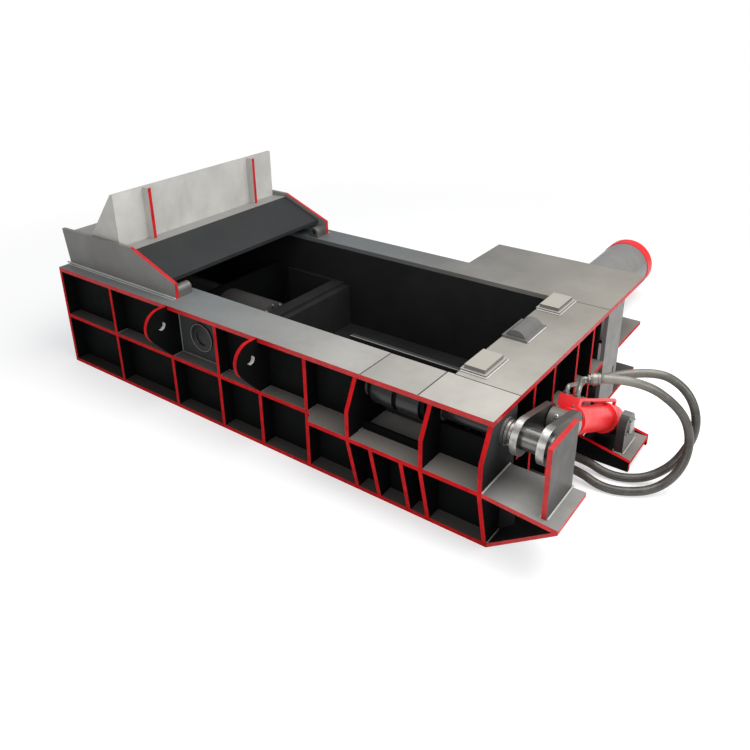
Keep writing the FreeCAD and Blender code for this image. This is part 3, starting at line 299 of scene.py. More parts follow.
def worn(shader, base, scale=3.0):
    """Paint with broad blotches, handling marks and fine specks."""
    broad = shader.patches(shader.noise(scale, BROAD_DETAIL))
    color = shader.mix(broad, tint(base, BROAD_SHADE), base)
    for noise, span, most, shade in WEAR:
        layer = shader.patches(shader.noise(**noise), span, most)
        color = shader.mix(layer, color, tint(base, shade))
    return color


def painted(name, base, red=None, roughness=PAINT_ROUGHNESS, level=PAINT_LEVEL, tone=None):
    """Satin machine enamel; red(shader) marks the faces that are painted red."""
    shader = Shader(name)
    color = worn(shader, base)
    if tone:
        color = tone(shader, color)
    rough = shader.sheen(shader.noise(**PAINT_SHEEN), roughness)
    if red:
        mottle = shader.patches(shader.noise(RED_MOTTLE_SCALE), RED_MOTTLE_SPAN)
        color = shader.mix(red(shader), color, shader.mix(mottle, RED_DEEP, RED))
    grain = shader.math("ADD", shader.noise(**PAINT_SKIN), shader.noise(**PAINT_WAVES))
    return shader.finish(color, rough, normal=shader.bump(grain, **PAINT_RELIEF), level=level)


# ------------------------------------------------------------------ red edges

EDGE_DEPTH = 0.002  # how far behind the outermost face a red edge starts
OUTWARD_NEAR = dict(toward=NEARWARD, least=SLANTING, y=(None, NEAR + EDGE_DEPTH))
OUTWARD_FAR = dict(toward=FARWARD, y=(FAR - EDGE_DEPTH, None))
OUTWARD_END = dict(toward=ENDWARD, x=(END - EDGE_DEPTH, None))
CORNER_PLATE = -0.02  # the end wall's red edges start at this Y

LUG_SIDE = 0.5  # least cosine between a lug's flat side and X
LUG_BORE = 0.0345  # radius that just takes in the wall of the lug's hole
LUG_BORE_CLEAR = 0.036  # radius that the red paint stays out of
LUG_FLANK = (0.396, 0.545)  # heights of the straight flank, which isn't red

FOOT_SLOPE = (0.2, 0, 0.98)
FOOT_PLATE = (0.062, 0.068)  # heights round the top of the foot's plate
FOOT_TOP = 0.2


def any_of(shader, masks):
    total = masks[0]
    for mask in masks[1:]:
        total = shader.math("MAXIMUM", total, mask)
    return total


def edges(*regions):
    """A mask that marks several regions of a node."""

    def red(shader):
        return any_of(shader, [shader.region(**region) for region in regions])

    return red


def lug_edges(shader):
    """The outer curve of a lug and its rib's outer edge, but not the hole or the straight flank."""
    side = shader.math("ABSOLUTE", shader.facing(ENDWARD))
    edge = shader.math("LESS_THAN", side, LUG_SIDE)
    edge = shader.math("MULTIPLY", edge, shader.within("Y", None, NEAR + EDGE_DEPTH))
    edge = shader.unless(edge, shader.about(*LUG_HOLE, LUG_BORE_CLEAR))
    return shader.unless(edge, shader.within("Z", *LUG_FLANK))


def foot_edges(shader):
    """The sloping tops of the foot's two side plates, and its outer edges."""
    slope = shader.region(FOOT_SLOPE, SLOPING, z=(FOOT_PLATE[0], FOOT_TOP))
    plate = shader.region(UP, LEVEL, z=FOOT_PLATE)
    outer = shader.region(ENDWARD, x=(FOOT_END - EDGE_DEPTH, None))
    return any_of(shader, [shader.math("SUBTRACT", slope, plate), outer])


wall_edges = edges(OUTWARD_NEAR, dict(OUTWARD_END, y=(CORNER_PLATE, None)), OUTWARD_FAR)
deck_edges = edges(OUTWARD_NEAR, OUTWARD_END, OUTWARD_FAR)
far_edges = edges(OUTWARD_FAR)
shelf_edges = edges(
    # near edges, outer edge, and the rib under the shelf
    dict(toward=NEARWARD, least=0.6, y=(None, NEAR + EDGE_DEPTH)),
    dict(toward=ENDWARD, least=SLOPING, x=(SHELF_END - 0.03, None)),
    dict(toward=ENDWARD, least=SLOPING, x=(END + 0.05, END + 0.1), z=(0.30, 0.36)),
)
bearing_edges = edges(
    # near edge, top and far edge
    dict(toward=NEARWARD, y=(None, BULGE + EDGE_DEPTH)),
    dict(toward=UP, z=(0.76, 0.8)),
    dict(toward=FARWARD, y=(-0.08, 0.0)),
)
cheek_edges = edges(
    # slope and toe
    dict(toward=(0.36, 0, 0.93), least=0.97, x=(-2.51, 0.0), z=(0.80, None)),
    dict(toward=ENDWARD),
)
upright_edges = edges(
    # back and front
    dict(toward=(-0.77, 0, 0.64)),
    dict(toward=ENDWARD, x=(-2.45, 0.0)),
)

# ------------------------------------------------------------------ tones

# Painted shade and light on the deck: darker and bluish at the tower, lighter and warm at the
# turn-out end, and darker towards the far wall.
# Each shade has an axis, a span along it, and the levels at the span's ends.
DECK_PAINTED_SHADES = (
    ("X", (-2.0, -0.7), (0.46, 0.92)),
    ("X", (-0.7, 0.3), (1.0, 1.16)),
    ("Y", (0.0, 0.9), (1.0, 0.56)),
)
# Tints along X: the span, the amounts at its ends, and the paint
DECK_TINTS = (
    ((-1.7, -0.6), (0.55, 0.0), (0.150, 0.172, 0.180)),
    ((-1.0, 0.3), (0.0, 0.14), (0.62, 0.54, 0.40)),
)
DECK_SEAM = (0.030, 0.028, 0.026)
# Dark seams between the deck's plates, as spans of X and Y
DECK_SEAMS = (
    ((0.0, END), (-0.004, 0.003)),
    ((0.0, END), (1.219, 1.226)),
    ((-0.410, -0.402), (NEAR, 0.0)),
    ((-0.049, -0.041), (NEAR, 0.0)),
)

# Painted light: a pale colour on upward faces, darker towards the tower and near the floor, and a
# lighter end face, lighter still towards its top
TOP_LIGHT = (0.205, 0.188, 0.170)
TOP_LIGHT_SHADES = (("X", (-3.1, 0.1), (0.25, 1.0)), ("Z", (0.1, 0.35), (0.42, 1.0)))
END_FACE_LIGHT = (0.013, 0.0135, 0.014)
END_FACE_LIGHT_RISE = ("Z", (0.42, 0.72), (1.0, 4.2))

# Painted highlight on the lit side of the lug's hole
BORE_HIGHLIGHT = (0.50, 0.48, 0.45)
BORE_LIT_WAY = (0, -0.7, 0.7)
BORE_LIT_LEAST = 0.55

# Painted shade on the shelf: its top darker near the end wall and at its outer end, and all faces
# but the top dark
SHELF_PAINTED_SHADES = (("X", (0.38, 0.54), (0.42, 1.0)), ("X", (0.56, 0.72), (1.0, 0.78)))
SHELF_SHADED_SIDES = (0.014, 0.014, 0.014)
SHELF_TOP = dict(toward=UP, least=0.5, z=(0.37, None))


def deck_painted_shade(shader, color):
    """Paints shade and light on the deck along the machine, tints it, and draws its dark seams."""
    for shade in DECK_PAINTED_SHADES:
        color = shader.graded(color, *shade)
    for span, amounts, paint in DECK_TINTS:
        color = shader.mix(shader.ramp(shader.axis("X"), *span, *amounts), color, paint)
    seams = [shader.region(UP, x=along, y=across) for along, across in DECK_SEAMS]
    return shader.mix(any_of(shader, seams), color, DECK_SEAM)


def top_and_end_light(shader, color):
    """Painted light on the rails' tops, and a lighter end face whose painted light grows towards
    its top.
    """
    top = shader.region(UP)
    lit_top = TOP_LIGHT
    for shade in TOP_LIGHT_SHADES:
        lit_top = shader.graded(lit_top, *shade)
    color = shader.mix(top, color, lit_top)
    face = shader.region(ENDWARD, x=(END - EDGE_DEPTH, None))
    return shader.mix(face, color, shader.graded(END_FACE_LIGHT, *END_FACE_LIGHT_RISE))


def bore_highlight(shader, color):
    """A painted highlight on the part of the lug's hole that faces the light."""
    bore = shader.about(*LUG_HOLE, LUG_BORE)
    lit = shader.region(BORE_LIT_WAY, BORE_LIT_LEAST)
    return shader.mix(shader.math("MULTIPLY", bore, lit), color, BORE_HIGHLIGHT)


def shelf_painted_shade(shader, color):
    """Painted shade: the shelf's top is darker near the end wall and at its outer end, and its
    brace and underside are painted dark as shade.
    """
    top = shader.region(**SHELF_TOP)
    for shade in SHELF_PAINTED_SHADES:
        color = shader.graded(color, *shade)
    return shader.mix(top, SHELF_SHADED_SIDES, color)


def patch(paint, *way, **spans):
    """A tone that paints light or shade onto one region of a node."""

    def tone(shader, color):
        return shader.mix(shader.region(*way, **spans), color, paint)

    return tone


# Painted highlight: a light line on the top edge of the cradle's back plate
cradle_edge_highlight = patch((0.17, 0.165, 0.155), UP, y=(0.049, 0.057), z=(0.74, 0.75))
# Painted reflection: a lighter panel in the bay with the round cover
lit_cover_bay_panel = patch(
    (0.042, 0.045, 0.045), NEARWARD, x=(-1.93, -1.51), y=(-0.21, -0.18), z=(0.38, 0.8)
)
# Painted light: the tower deck's upward faces are light grey, its other faces dark
lit_tower_top = patch(tint(LIGHT, 0.8), UP, 0.995, z=(0.9, None))
# Painted shade on the pedestals' near sides
shaded_pedestal_side = patch((0.030, 0.029, 0.028), NEARWARD, SLANTING)
# Painted light: the pads' tops are lighter and warmer than their sides
lit_pad_top = patch((0.335, 0.312, 0.272), UP, 0.99)
# Painted light: the top of the foot's plate is pale against the dark foot
lit_foot_plate_top = patch((0.24, 0.22, 0.20), UP, LEVEL, z=FOOT_PLATE)

# ------------------------------------------------------------------ metal and rubber

STEEL = (0.42, 0.41, 0.39)
STEEL_MARKS = dict(scale=60.0, rough=0.6)
STEEL_RELIEF = dict(strength=0.15, distance=0.0004)
STEEL_ROUGHNESS = (0.22, 0.42)
STEEL_METALLIC = 0.85
TURNING = (22.0, 1.0, 1.0)
GRIME_SCALE = 9.0
GRIME_SPAN = (0.42, 0.72)
GRIME_SHADE = 0.55

LEVER_STRETCH = (1.0, 6.0, 6.0)
LEVER_FLAT = 0.5  # least cosine between a lever's flat face and X
LEVER_FACE = ((0.030, 0.029, 0.027), (0.060, 0.057, 0.052))
LEVER_FACE_CLOUDS = dict(scale=8.0, detail=5.0)
LEVER_RIM = ((0.30, 0.29, 0.27), (0.58, 0.57, 0.54))
LEVER_RIM_CLOUDS = dict(scale=20.0)
LEVER_ARM = (0.135, 0.130, 0.112)
LEVER_ARM_START = (-0.13, -0.09)
LEVER_METALLIC = 0.75

MILL_BLOTCH_SCALE = 2.0
MILL_SHEEN = dict(scale=7.0, detail=5.0)
MILL_ROUGHNESS = (0.45, 0.65)
MILL_GRAIN = dict(scale=140.0, detail=3.0)
MILL_RELIEF = dict(strength=0.15, distance=0.0006)
MILL_LEVEL = 0.3

GLOSS_RED = ((0.80, 0.016, 0.020), (0.88, 0.022, 0.026))
GLOSS_CLOUDS = dict(scale=7.0)
GLOSS_SPECKS = dict(scale=40.0, rough=0.6)
GLOSS_SPECK_SPAN = (0.66, 0.80)
GLOSS_SPECK_MOST = 0.12
GLOSS_SPECK_PAINT = (0.40, 0.01, 0.012)
GLOSS_SHEEN = dict(scale=15.0)
GLOSS_ROUGHNESS = (0.28, 0.42)
GLOSS_GRAIN = dict(scale=180.0, detail=2.0)
GLOSS_RELIEF = dict(strength=0.04, distance=0.0003)
GLOSS_LEVEL = 0.35

RUBBER = ((0.048, 0.045, 0.039), (0.090, 0.085, 0.073))
RUBBER_CLOUDS = dict(scale=14.0, detail=5.0)
RUBBER_CLOUD_SPAN = (0.35, 0.75)
# A paler colour towards the hose's top end
RUBBER_PALE = (0.36, 0.34, 0.29)
RUBBER_PALE_MOST = 0.5
RUBBER_PALE_RISE = (0.52, 0.66)  # along Z
RUBBER_PALE_FALL = (0.95, 0.70)  # along X, back from the outer bend
RUBBER_SHEEN = dict(scale=40.0)
RUBBER_ROUGHNESS = (0.22, 0.36)
RUBBER_GRAIN = dict(scale=420.0, detail=2.0)
RUBBER_RELIEF = dict(strength=0.1, distance=0.0004)

CHROME = ((0.62, 0.62, 0.63), (0.78, 0.78, 0.79))
CHROME_CLOUDS = dict(scale=5.0, detail=3.0)
CHROME_SHEEN = dict(scale=50.0, detail=3.0)
CHROME_STRETCH = (1.0, 8.0, 8.0)
CHROME_ROUGHNESS = (0.07, 0.16)
ROD_ROUGHNESS = (0.08, 0.18)
EYE_PAINT = (0.15, 0.14, 0.12)
EYE_RADIUS = 0.066
EYE_EXTRA_ROUGHNESS = 0.28


def brushed(name, color=STEEL, roughness=STEEL_ROUGHNESS, metallic=STEEL_METALLIC):
    """Machined steel: fine turning marks and a little handling grime."""
    shader = Shader(name)
    marks = shader.noise(**STEEL_MARKS, stretch=TURNING)
    grime = shader.patches(shader.noise(GRIME_SCALE), GRIME_SPAN)
    tone = shader.mix(grime, color, tint(color, GRIME_SHADE))
    rough = shader.ramp(marks, *WIDE, *roughness)
    normal = shader.bump(marks, **STEEL_RELIEF)
    return shader.finish(tone, rough, metallic=metallic, normal=normal)


def lever_steel(name):
    """Dark flame-cut faces, bright turned rims and duller arms."""
    shader = Shader(name)
    marks = shader.noise(**STEEL_MARKS, stretch=LEVER_STRETCH)
    side = shader.math("ABSOLUTE", shader.facing(ENDWARD))
    flat = shader.math("GREATER_THAN", side, LEVER_FLAT)
    face = shader.mix(shader.patches(shader.noise(**LEVER_FACE_CLOUDS)), *LEVER_FACE)
    rim = shader.mix(shader.patches(shader.noise(**LEVER_RIM_CLOUDS)), *LEVER_RIM)
    rim = shader.mix(shader.ramp(shader.axis("Y"), *LEVER_ARM_START), rim, LEVER_ARM)
    color = shader.mix(flat, rim, face)
    rough = shader.ramp(marks, *WIDE, *STEEL_ROUGHNESS)
    normal = shader.bump(marks, **STEEL_RELIEF)
    return shader.finish(color, rough, metallic=LEVER_METALLIC, normal=normal)


def mill_plate(name, tone=None):
    """Bare dark plate as it comes from the mill."""
    shader = Shader(name)
    color = worn(shader, MILL, MILL_BLOTCH_SCALE)
    if tone:
        color = tone(shader, color)
    rough = shader.sheen(shader.noise(**MILL_SHEEN), MILL_ROUGHNESS)
    normal = shader.bump(shader.noise(**MILL_GRAIN), **MILL_RELIEF)
    return shader.finish(color, rough, normal=normal, level=MILL_LEVEL)


def red_gloss(name):
    """The bright red enamel of the cylinders."""
    shader = Shader(name)
    color = shader.mix(shader.patches(shader.noise(**GLOSS_CLOUDS)), *GLOSS_RED)
    specks = shader.patches(shader.noise(**GLOSS_SPECKS), GLOSS_SPECK_SPAN, GLOSS_SPECK_MOST)
    color = shader.mix(specks, color, GLOSS_SPECK_PAINT)
    rough = shader.sheen(shader.noise(**GLOSS_SHEEN), GLOSS_ROUGHNESS)
    normal = shader.bump(shader.noise(**GLOSS_GRAIN), **GLOSS_RELIEF)
    return shader.finish(color, rough, normal=normal, level=GLOSS_LEVEL)


def rubber(name):
    """Dark hose rubber that is paler near its top end."""
    shader = Shader(name)
    clouds = shader.patches(shader.noise(**RUBBER_CLOUDS), RUBBER_CLOUD_SPAN)
    color = shader.mix(clouds, *RUBBER)
    high = shader.ramp(shader.axis("Z"), *RUBBER_PALE_RISE)
    top = shader.math("MULTIPLY", high, shader.ramp(shader.axis("X"), *RUBBER_PALE_FALL))
    color = shader.mix(shader.math("MULTIPLY", top, RUBBER_PALE_MOST), color, RUBBER_PALE)
    rough = shader.sheen(shader.noise(**RUBBER_SHEEN), RUBBER_ROUGHNESS)
    normal = shader.bump(shader.noise(**RUBBER_GRAIN), **RUBBER_RELIEF)
    return shader.finish(color, rough, normal=normal)


def rod_finish(name):
    """Chrome plating on the rod; beige enamel on its eye."""
    shader = Shader(name)
    eye = shader.about(*ROD_PIN, EYE_RADIUS)
    plate = shader.mix(shader.noise(**CHROME_CLOUDS), *CHROME)
    color = shader.mix(eye, plate, worn(shader, EYE_PAINT))
    rough = shader.sheen(shader.noise(**CHROME_SHEEN), ROD_ROUGHNESS)
    rough = shader.math("ADD", rough, shader.math("MULTIPLY", eye, EYE_EXTRA_ROUGHNESS))
    metal = shader.math("SUBTRACT", 1.0, eye)
    return shader.finish(color, rough, metallic=metal)


def chrome(name):
    """Chrome plating with faint marks along X."""
    shader = Shader(name)
    marks = shader.noise(**CHROME_SHEEN, stretch=CHROME_STRETCH)
    tone = shader.mix(shader.noise(**CHROME_CLOUDS), *CHROME)
    return shader.finish(tone, shader.sheen(marks, CHROME_ROUGHNESS), metallic=1.0)


# ------------------------------------------------------------------ finishes of the CAD nodes

DARK = dict(base=SLATE, roughness=(0.5, 0.68), level=0.06)
GLOSSY = dict(roughness=(0.20, 0.30), level=0.8)
DRUM = dict(base=(0.016, 0.016, 0.016), roughness=(0.20, 0.30), level=0.5)
COVER = dict(base=(0.013, 0.013, 0.012), roughness=(0.3, 0.45), level=0.35)
DULL_FITTING = dict(color=(0.17, 0.165, 0.155), roughness=(0.35, 0.55), metallic=0.6)
POLISHED_HUB = dict(color=(0.19, 0.187, 0.177), roughness=(0.16, 0.30), metallic=0.9)
PALE_FITTING = dict(color=(0.27, 0.262, 0.235), roughness=(0.28, 0.45), metallic=0.5)
DULL_NUT = dict(color=(0.20, 0.195, 0.18), roughness=(0.30, 0.48), metallic=0.7)


def grey(amount):
    """The machine's light grey, made lighter or darker."""
    return tint(LIGHT, amount)


def dress(steel):
    """Gives every node its finish."""
    plan = (
        (painted("deck_paint", LIGHT, deck_edges, tone=deck_painted_shade), "near_top_plates"),
        (
            painted("end_deck_paint", grey(0.86), deck_edges, tone=deck_painted_shade),
            "end_top_plate housing_top_plate turn_flap far_top_plate",
        ),
        (
            painted("wall_paint", red=wall_edges, tone=top_and_end_light, **DARK),
            "near_ribs shaft_ribs mid_rails base_plate end_ribs",
        ),
        (painted("lug_paint", red=lug_edges, tone=bore_highlight, **DARK), "near_lug_ribs"),
        (painted("shelf_paint", LIGHT, shelf_edges, tone=shelf_painted_shade), "shelf"),
        (painted("bearing_paint", grey(0.195), bearing_edges), "bearing_plate"),
        (painted("cheek_paint", grey(0.62), cheek_edges), "tower_cheeks"),
        (painted("upright_paint", grey(1.55), upright_edges), "tower_upright"),
        (painted("foot_paint", red=foot_edges, tone=lit_foot_plate_top, **DARK), "far_foot"),
        (painted("light_enamel", grey(0.66), **GLOSSY), "side_cylinder"),
        (painted("pad_enamel", grey(0.55), tone=lit_pad_top), "end_pads"),
        (painted("ram_enamel", grey(0.18)), "main_cylinder"),
        (painted("housing_paint", grey(0.54)), "housing_plates"),
        (painted("pedestal_paint", grey(0.60), tone=shaded_pedestal_side), "trunnion_pedestals"),
        (painted("far_wall_paint", red=far_edges, **DARK), "far_ribs"),
        (painted("slate_enamel", **DARK), "floor_beams rear_plate cylinder_mounts turn_arms"),
        (painted("drum_enamel", **DRUM), "turn_drum turn_shaft"),
        (painted("block_enamel", grey(0.36), **GLOSSY), "half_round_block"),
        (painted("panel_enamel", tone=lit_cover_bay_panel, **DARK), "bay_panels"),
        (painted("tower_enamel", tint(SLATE, 5.0), tone=lit_tower_top), "tower_deck"),
        (painted("cover_paint", **COVER), "cover_ring"),
        (
            mill_plate("mill_plate"),
            "near_skin end_skin far_skin floor_plates side_ram_face side_ram_body "
            "main_ram_head main_ram_guides cradle_floor_plate",
        ),
        (mill_plate("cradle_plate", cradle_edge_highlight), "cradle_back_plate"),
        (red_gloss("red_enamel"), "side_cylinder_cap turn_barrel port_blocks turn_trunnion"),
        (chrome("chrome_plate"), "side_rod main_rod"),
        (rod_finish("rod_and_eye"), "turn_rod"),
        (brushed("dull_fitting_steel", **DULL_FITTING), "lid_hinge_knuckles shaft_bushes"),
        (brushed("polished_hub_steel", **POLISHED_HUB), "lever_hub"),
        (lever_steel("lever_steel"), "lever_cheeks"),
        (brushed("pale_fitting_steel", **PALE_FITTING), "turn_fittings bulkheads"),
        (steel, "lever_pin_ends rod_eye_pin"),
    )
    for material, names in plan:
        for name in names.split():
            data = nodes[name].data
            data.materials.clear()
            data.materials.append(material)


# ------------------------------------------------------------------ small parts as meshes

BEAD_SIDES = 6
BEAD_PITCH = 0.9  # length of one ripple, by the bead's radius
RUN_RIPPLE = 0.8
SEAM_RIPPLE = 0.82
TURNED_SIDES = 28
FINE_SIDES = 40

# Outlines of a bolt's parts by its radius, as (distance, radius), and their numbers of sides
BOLT_PARTS = (
    (((0, 1.35), (0.2, 1.35), (0.26, 1.22)), 20),  # washer
    (((0.22, 1.0), (0.95, 1.0), (1.12, 0.85)), 6),  # hexagon head
    (((1.0, 0.5), (1.42, 0.5), (1.52, 0.4)), 14),  # end of the stud
)


def square_frame(axis):
    """A unit vector along an axis, and two that are square to it."""
    along = Vector(axis).normalized()
    side = along.orthogonal().normalized()
    return along, side, along.cross(side)


class Details:
    """Small fabricated details gathered into one mesh that rides on a body."""

    def __init__(self):
        self.mesh = bmesh.new()

    def skin(self, stations, smooth, closed=False):
        """Joins rings of points into a tube, and caps its ends unless it closes on itself."""
        rows = [[self.mesh.verts.new(point) for point in ring] for ring in stations]
        pairs = list(zip(rows, rows[1:]))
        if closed:
            pairs.append((rows[-1], rows[0]))
        else:
            self.mesh.faces.new(rows[0][::-1])
            self.mesh.faces.new(rows[-1])
        for first, second in pairs:
            for here in range(len(first)):
                after = (here + 1) % len(first)
                corners = (first[here], first[after], second[after], second[here])
                self.mesh.faces.new(corners).smooth = smooth

    def circle(self, centre, first, second, radius, sides):
        points = []
        for step in range(sides):
            turn = 2 * math.pi * step / sides
            points.append(centre + radius * (math.cos(turn) * first + math.sin(turn) * second))
        return points

    def turned(self, base, axis, profile, sides=TURNED_SIDES):
        """A profile of (distance, radius) pairs turned about an axis."""
        along, side, other = square_frame(axis)
        rings = []
        for distance, radius in profile:
            centre = Vector(base) + along * distance
            rings.append(self.circle(centre, side, other, radius, sides))
        self.skin(rings, False)

    def bolt(self, base, axis, size):
        """A hexagon head on a washer, with the end of its stud."""
        for outline, sides in BOLT_PARTS:
            profile = [(size * distance, size * radius) for distance, radius in outline]
            self.turned(base, axis, profile, sides)

    def bolts(self, count, radius, centre, axis, size, first=FARWARD, second=UP, start=0.0):
        """Bolts spaced evenly on a circle, from a start in degrees."""
        for step in range(count):
            turn = math.radians(start) + 2 * math.pi * step / count
            offset = math.cos(turn) * Vector(first) + math.sin(turn) * Vector(second)
            self.bolt(Vector(centre) + radius * offset, axis, size)

    def weld(self, points, radius):
        """A rippled bead along each run between points."""
        line = [Vector(point) for point in points]
        for start, end in zip(line, line[1:]):
            side, other = square_frame(end - start)[1:]
            count = max(2, int((end - start).length / (BEAD_PITCH * radius)))
            rings = []
            for step in range(count + 1):
                size = radius * (1.0 if step % 2 else RUN_RIPPLE)
                centre = start.lerp(end, step / count)
                rings.append(self.circle(centre, side, other, size, BEAD_SIDES))
            self.skin(rings, True)

    def seam(self, centre, axis, radius, bead):
        """A rippled bead around a tube."""
        along, side, other = square_frame(axis)
        count = 2 * int(math.pi * radius / bead)
        rings = []
        for step in range(count):
            turn = 2 * math.pi * step / count
            out = math.cos(turn) * side + math.sin(turn) * other
            size = bead * (1.0 if step % 2 else SEAM_RIPPLE)
            middle = Vector(centre) + radius * out
            rings.append(self.circle(middle, out, along, size, BEAD_SIDES))
        self.skin(rings, True, closed=True)

    def solid(self, name, material):
        """An object made of all that was added, which rides on no body yet."""
        data = bpy.data.meshes.new(name)
        bmesh.ops.recalc_face_normals(self.mesh, faces=self.mesh.faces)
        self.mesh.to_mesh(data)
        self.mesh.free()
        data.materials.append(material)
        thing = bpy.data.objects.new(name, data)
        bpy.context.scene.collection.objects.link(thing)
        return thing

    def piece(self, name, body, slot, material):
        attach(self.solid(name, material), body)


# ------------------------------------------------------------------ welds

# Painted highlight: pale paint on the deck's weld beads
WELD_HIGHLIGHT = (0.56, 0.545, 0.51)
# Painted highlight: grey paint on the wall's weld beads
WALL_WELD_HIGHLIGHT = (0.22, 0.215, 0.20)
# Painted highlight: pale paint on the cover's rims
RIM_HIGHLIGHT = (0.20, 0.20, 0.19)

# Level runs of weld: the bead's radius, its height, and the places that it joins
DECK_RUNS = (
    # near cheek of the tower, with a thin bead outside the thick one
    (0.0065, 0.754, (-3.118, -0.193), (-1.955, -0.193)),
    (0.0035, 0.7515, (-3.084, -0.212), (-1.955, -0.212)),
    # far cheek of the tower
    (0.0065, 0.754, (-3.118, 1.360), (-1.955, 1.360)),
    (0.0035, 0.7515, (-3.084, 1.379), (-1.955, 1.379)),
    # near pad, half-round block and far pad, but for their chamber side
    (0.005, 0.7535, (0.004, 0.044), (0.159, 0.044), (0.159, 0.292), (0.004, 0.292)),
    (0.005, 0.7535, (0.004, 0.536), (0.159, 0.536), (0.159, 0.766), (0.004, 0.766)),
    (0.005, 0.7535, (0.004, 0.971), (0.159, 0.971), (0.159, 1.219), (0.004, 1.219)),
    # shelf and its brace against the end wall
    (0.006, 0.394, (0.380, -0.369), (0.380, -0.076)),
    (0.005, 0.029, (0.380, -0.282), (0.380, -0.076)),
    # both sides of the bearing plate
    (0.0055, 0.394, (0.677, -0.366), (0.677, -0.064)),
    (0.0055, 0.394, (0.712, -0.366), (0.712, -0.064)),
    # trunnion pedestals
    (0.0055, 0.068, (0.417, 0.790), (0.417, 0.998)),
    (0.0055, 0.068, (0.633, 0.790), (0.633, 0.998)),
    (0.0055, 0.068, (0.692, 0.790), (0.692, 0.998)),
    (0.0055, 0.068, (0.640, 0.784), (0.686, 0.784)),
)
CYLINDER_SEAM = dict(centre=(-0.165, 1.892, 0.281), axis=FARWARD, radius=0.203, bead=0.007)

RIB_BEAD = 0.0045
RIB_BEAD_ASIDE = 0.016
RIB_BEAD_ENDS = ((-0.284, 0.393), (-0.206, 0.393))
COVER_BAY_BEAD = 0.0042
COVER_BAY_RUN = ((-1.923, -0.206, 0.712), (-1.923, -0.206, 0.394), (-1.520, -0.206, 0.394))
COVER_RIMS = (
    dict(centre=(-1.7215, -0.215, 0.550), axis=FARWARD, radius=0.0935, bead=0.0028),
    dict(centre=(-1.7215, -0.209, 0.550), axis=FARWARD, radius=0.0590, bead=0.0024),
)


def deck_welds():
    """Beads painted pale as highlights: tower feet, pads, bearing plate, shelf, pedestals and side
    cylinder.
    """
    beads = Details()
    for radius, height, *places in DECK_RUNS:
        beads.weld([(x, y, height) for x, y in places], radius)
    beads.seam(**CYLINDER_SEAM)
    beads.piece("deck_welds", "body", "light_paint", painted("weld_highlight_paint", WELD_HIGHLIGHT))


def wall_welds():
    """Beads beside the near ribs on the mid rail, and in the bay with the cover, painted grey as
    highlights, darker than the deck's.
    """
    beads = Details()
    for x in RIBS:
        for aside in (-RIB_BEAD_ASIDE, RIB_BEAD_ASIDE):
            beads.weld([(x + aside, y, z) for y, z in RIB_BEAD_ENDS], RIB_BEAD)
    beads.weld(COVER_BAY_RUN, COVER_BAY_BEAD)
    material = painted("wall_weld_highlight_paint", WALL_WELD_HIGHLIGHT)
    beads.piece("wall_welds", "body", "slate_paint", material)


def cover_rims():
    """Pale beads on the rims of the round cover and of the ring on it, painted as highlights."""
    rims = Details()
    for rim in COVER_RIMS:
        rims.seam(**rim)
    rims.piece("cover_rims", "body", "slate_paint", painted("rim_highlight_paint", RIM_HIGHLIGHT))


# ------------------------------------------------------------------ tray, bolts and rings

# The tray's outer and inner outlines, and the outline and height of each of its rings
TRAY_FLOOR = ((0.415, 0.757), (0.637, 0.757), (0.637, 1.058), (0.415, 1.058))
TRAY_LIP = ((0.422, 0.764), (0.630, 0.764), (0.630, 1.051), (0.422, 1.051))
TRAY_LAYERS = ((TRAY_FLOOR, 0.004), (TRAY_FLOOR, 0.028), (TRAY_LIP, 0.028), (TRAY_LIP, 0.010))

BEARING_BOLTS = dict(
    count=4, radius=0.074, centre=(0.668, *SHAFT), axis=(-1, 0, 0), size=0.011, start=45
)
PEDESTAL_BOLTS = dict(
    count=4, radius=0.062, centre=(0.688, 0.872, 0.215), axis=ENDWARD, size=0.009, start=20
)
RAM_FLANGE_BOLTS = dict(
    count=12, radius=0.146, centre=(-1.880, 0.6045, 0.281), axis=ENDWARD, size=0.009
)
CYLINDER_CAP_BOLTS = dict(
    count=12, radius=0.165, centre=(-0.165, 3.280, 0.281), axis=FARWARD, size=0.015, first=ENDWARD
)

# Outlines of turned parts, as (distance, radius)
TRUNNION_CAP = ((0, 0.046), (0.010, 0.046), (0.014, 0.042))
INNER_RINGS = (
    (0, 0.064),
    (0.014, 0.064),
    (0.017, 0.057),
    (0.030, 0.057),
    (0.033, 0.053),
    (0.046, 0.053),
)
OUTER_RING = ((0, 0.058), (0.012, 0.058), (0.016, 0.053))
INNER_RINGS_START = 0.393
OUTER_RING_START = 0.6165

# Reaches along the barrel from its trunnion, and the parts that sit there
COLLAR_BEAD = 0.5865
BAND_BEADS = (-0.034, 0.034)
GLAND = 0.6415
PORTS = 0.614
BARREL_BEAD = dict(axis=ALONG, radius=0.0785, bead=0.0045)
GLAND_RING = ((0, 0.066), (0.007, 0.066), (0.011, 0.060), (0.011, 0.048), (0.018, 0.044))
GLAND_BOLTS = dict(
    count=6,
    radius=0.075,
    centre=TRUNNION + GLAND * ALONG,
    axis=ALONG,
    size=0.0055,
    first=ENDWARD,
    second=UPWARD,
    start=30,
)

PORT_HEIGHT = 0.123  # above the barrel's axis
PORTS_ASIDE = (0.0, -0.062)
PORT_NUT = ((0, 0.020), (0.013, 0.020), (0.016, 0.017))
HOSE_NUT = ((0, 0.020), (0.002, 0.024), (0.016, 0.024), (0.018, 0.020))
HOSE_NUT_BACK = 0.066
CRIMP = ((0, 0.0311), (0.002, 0.0320), (0.006, 0.0320), (0.008, 0.0311))
CRIMPS_BACK = (0.046, 0.016)
NUT_SIDES = 6

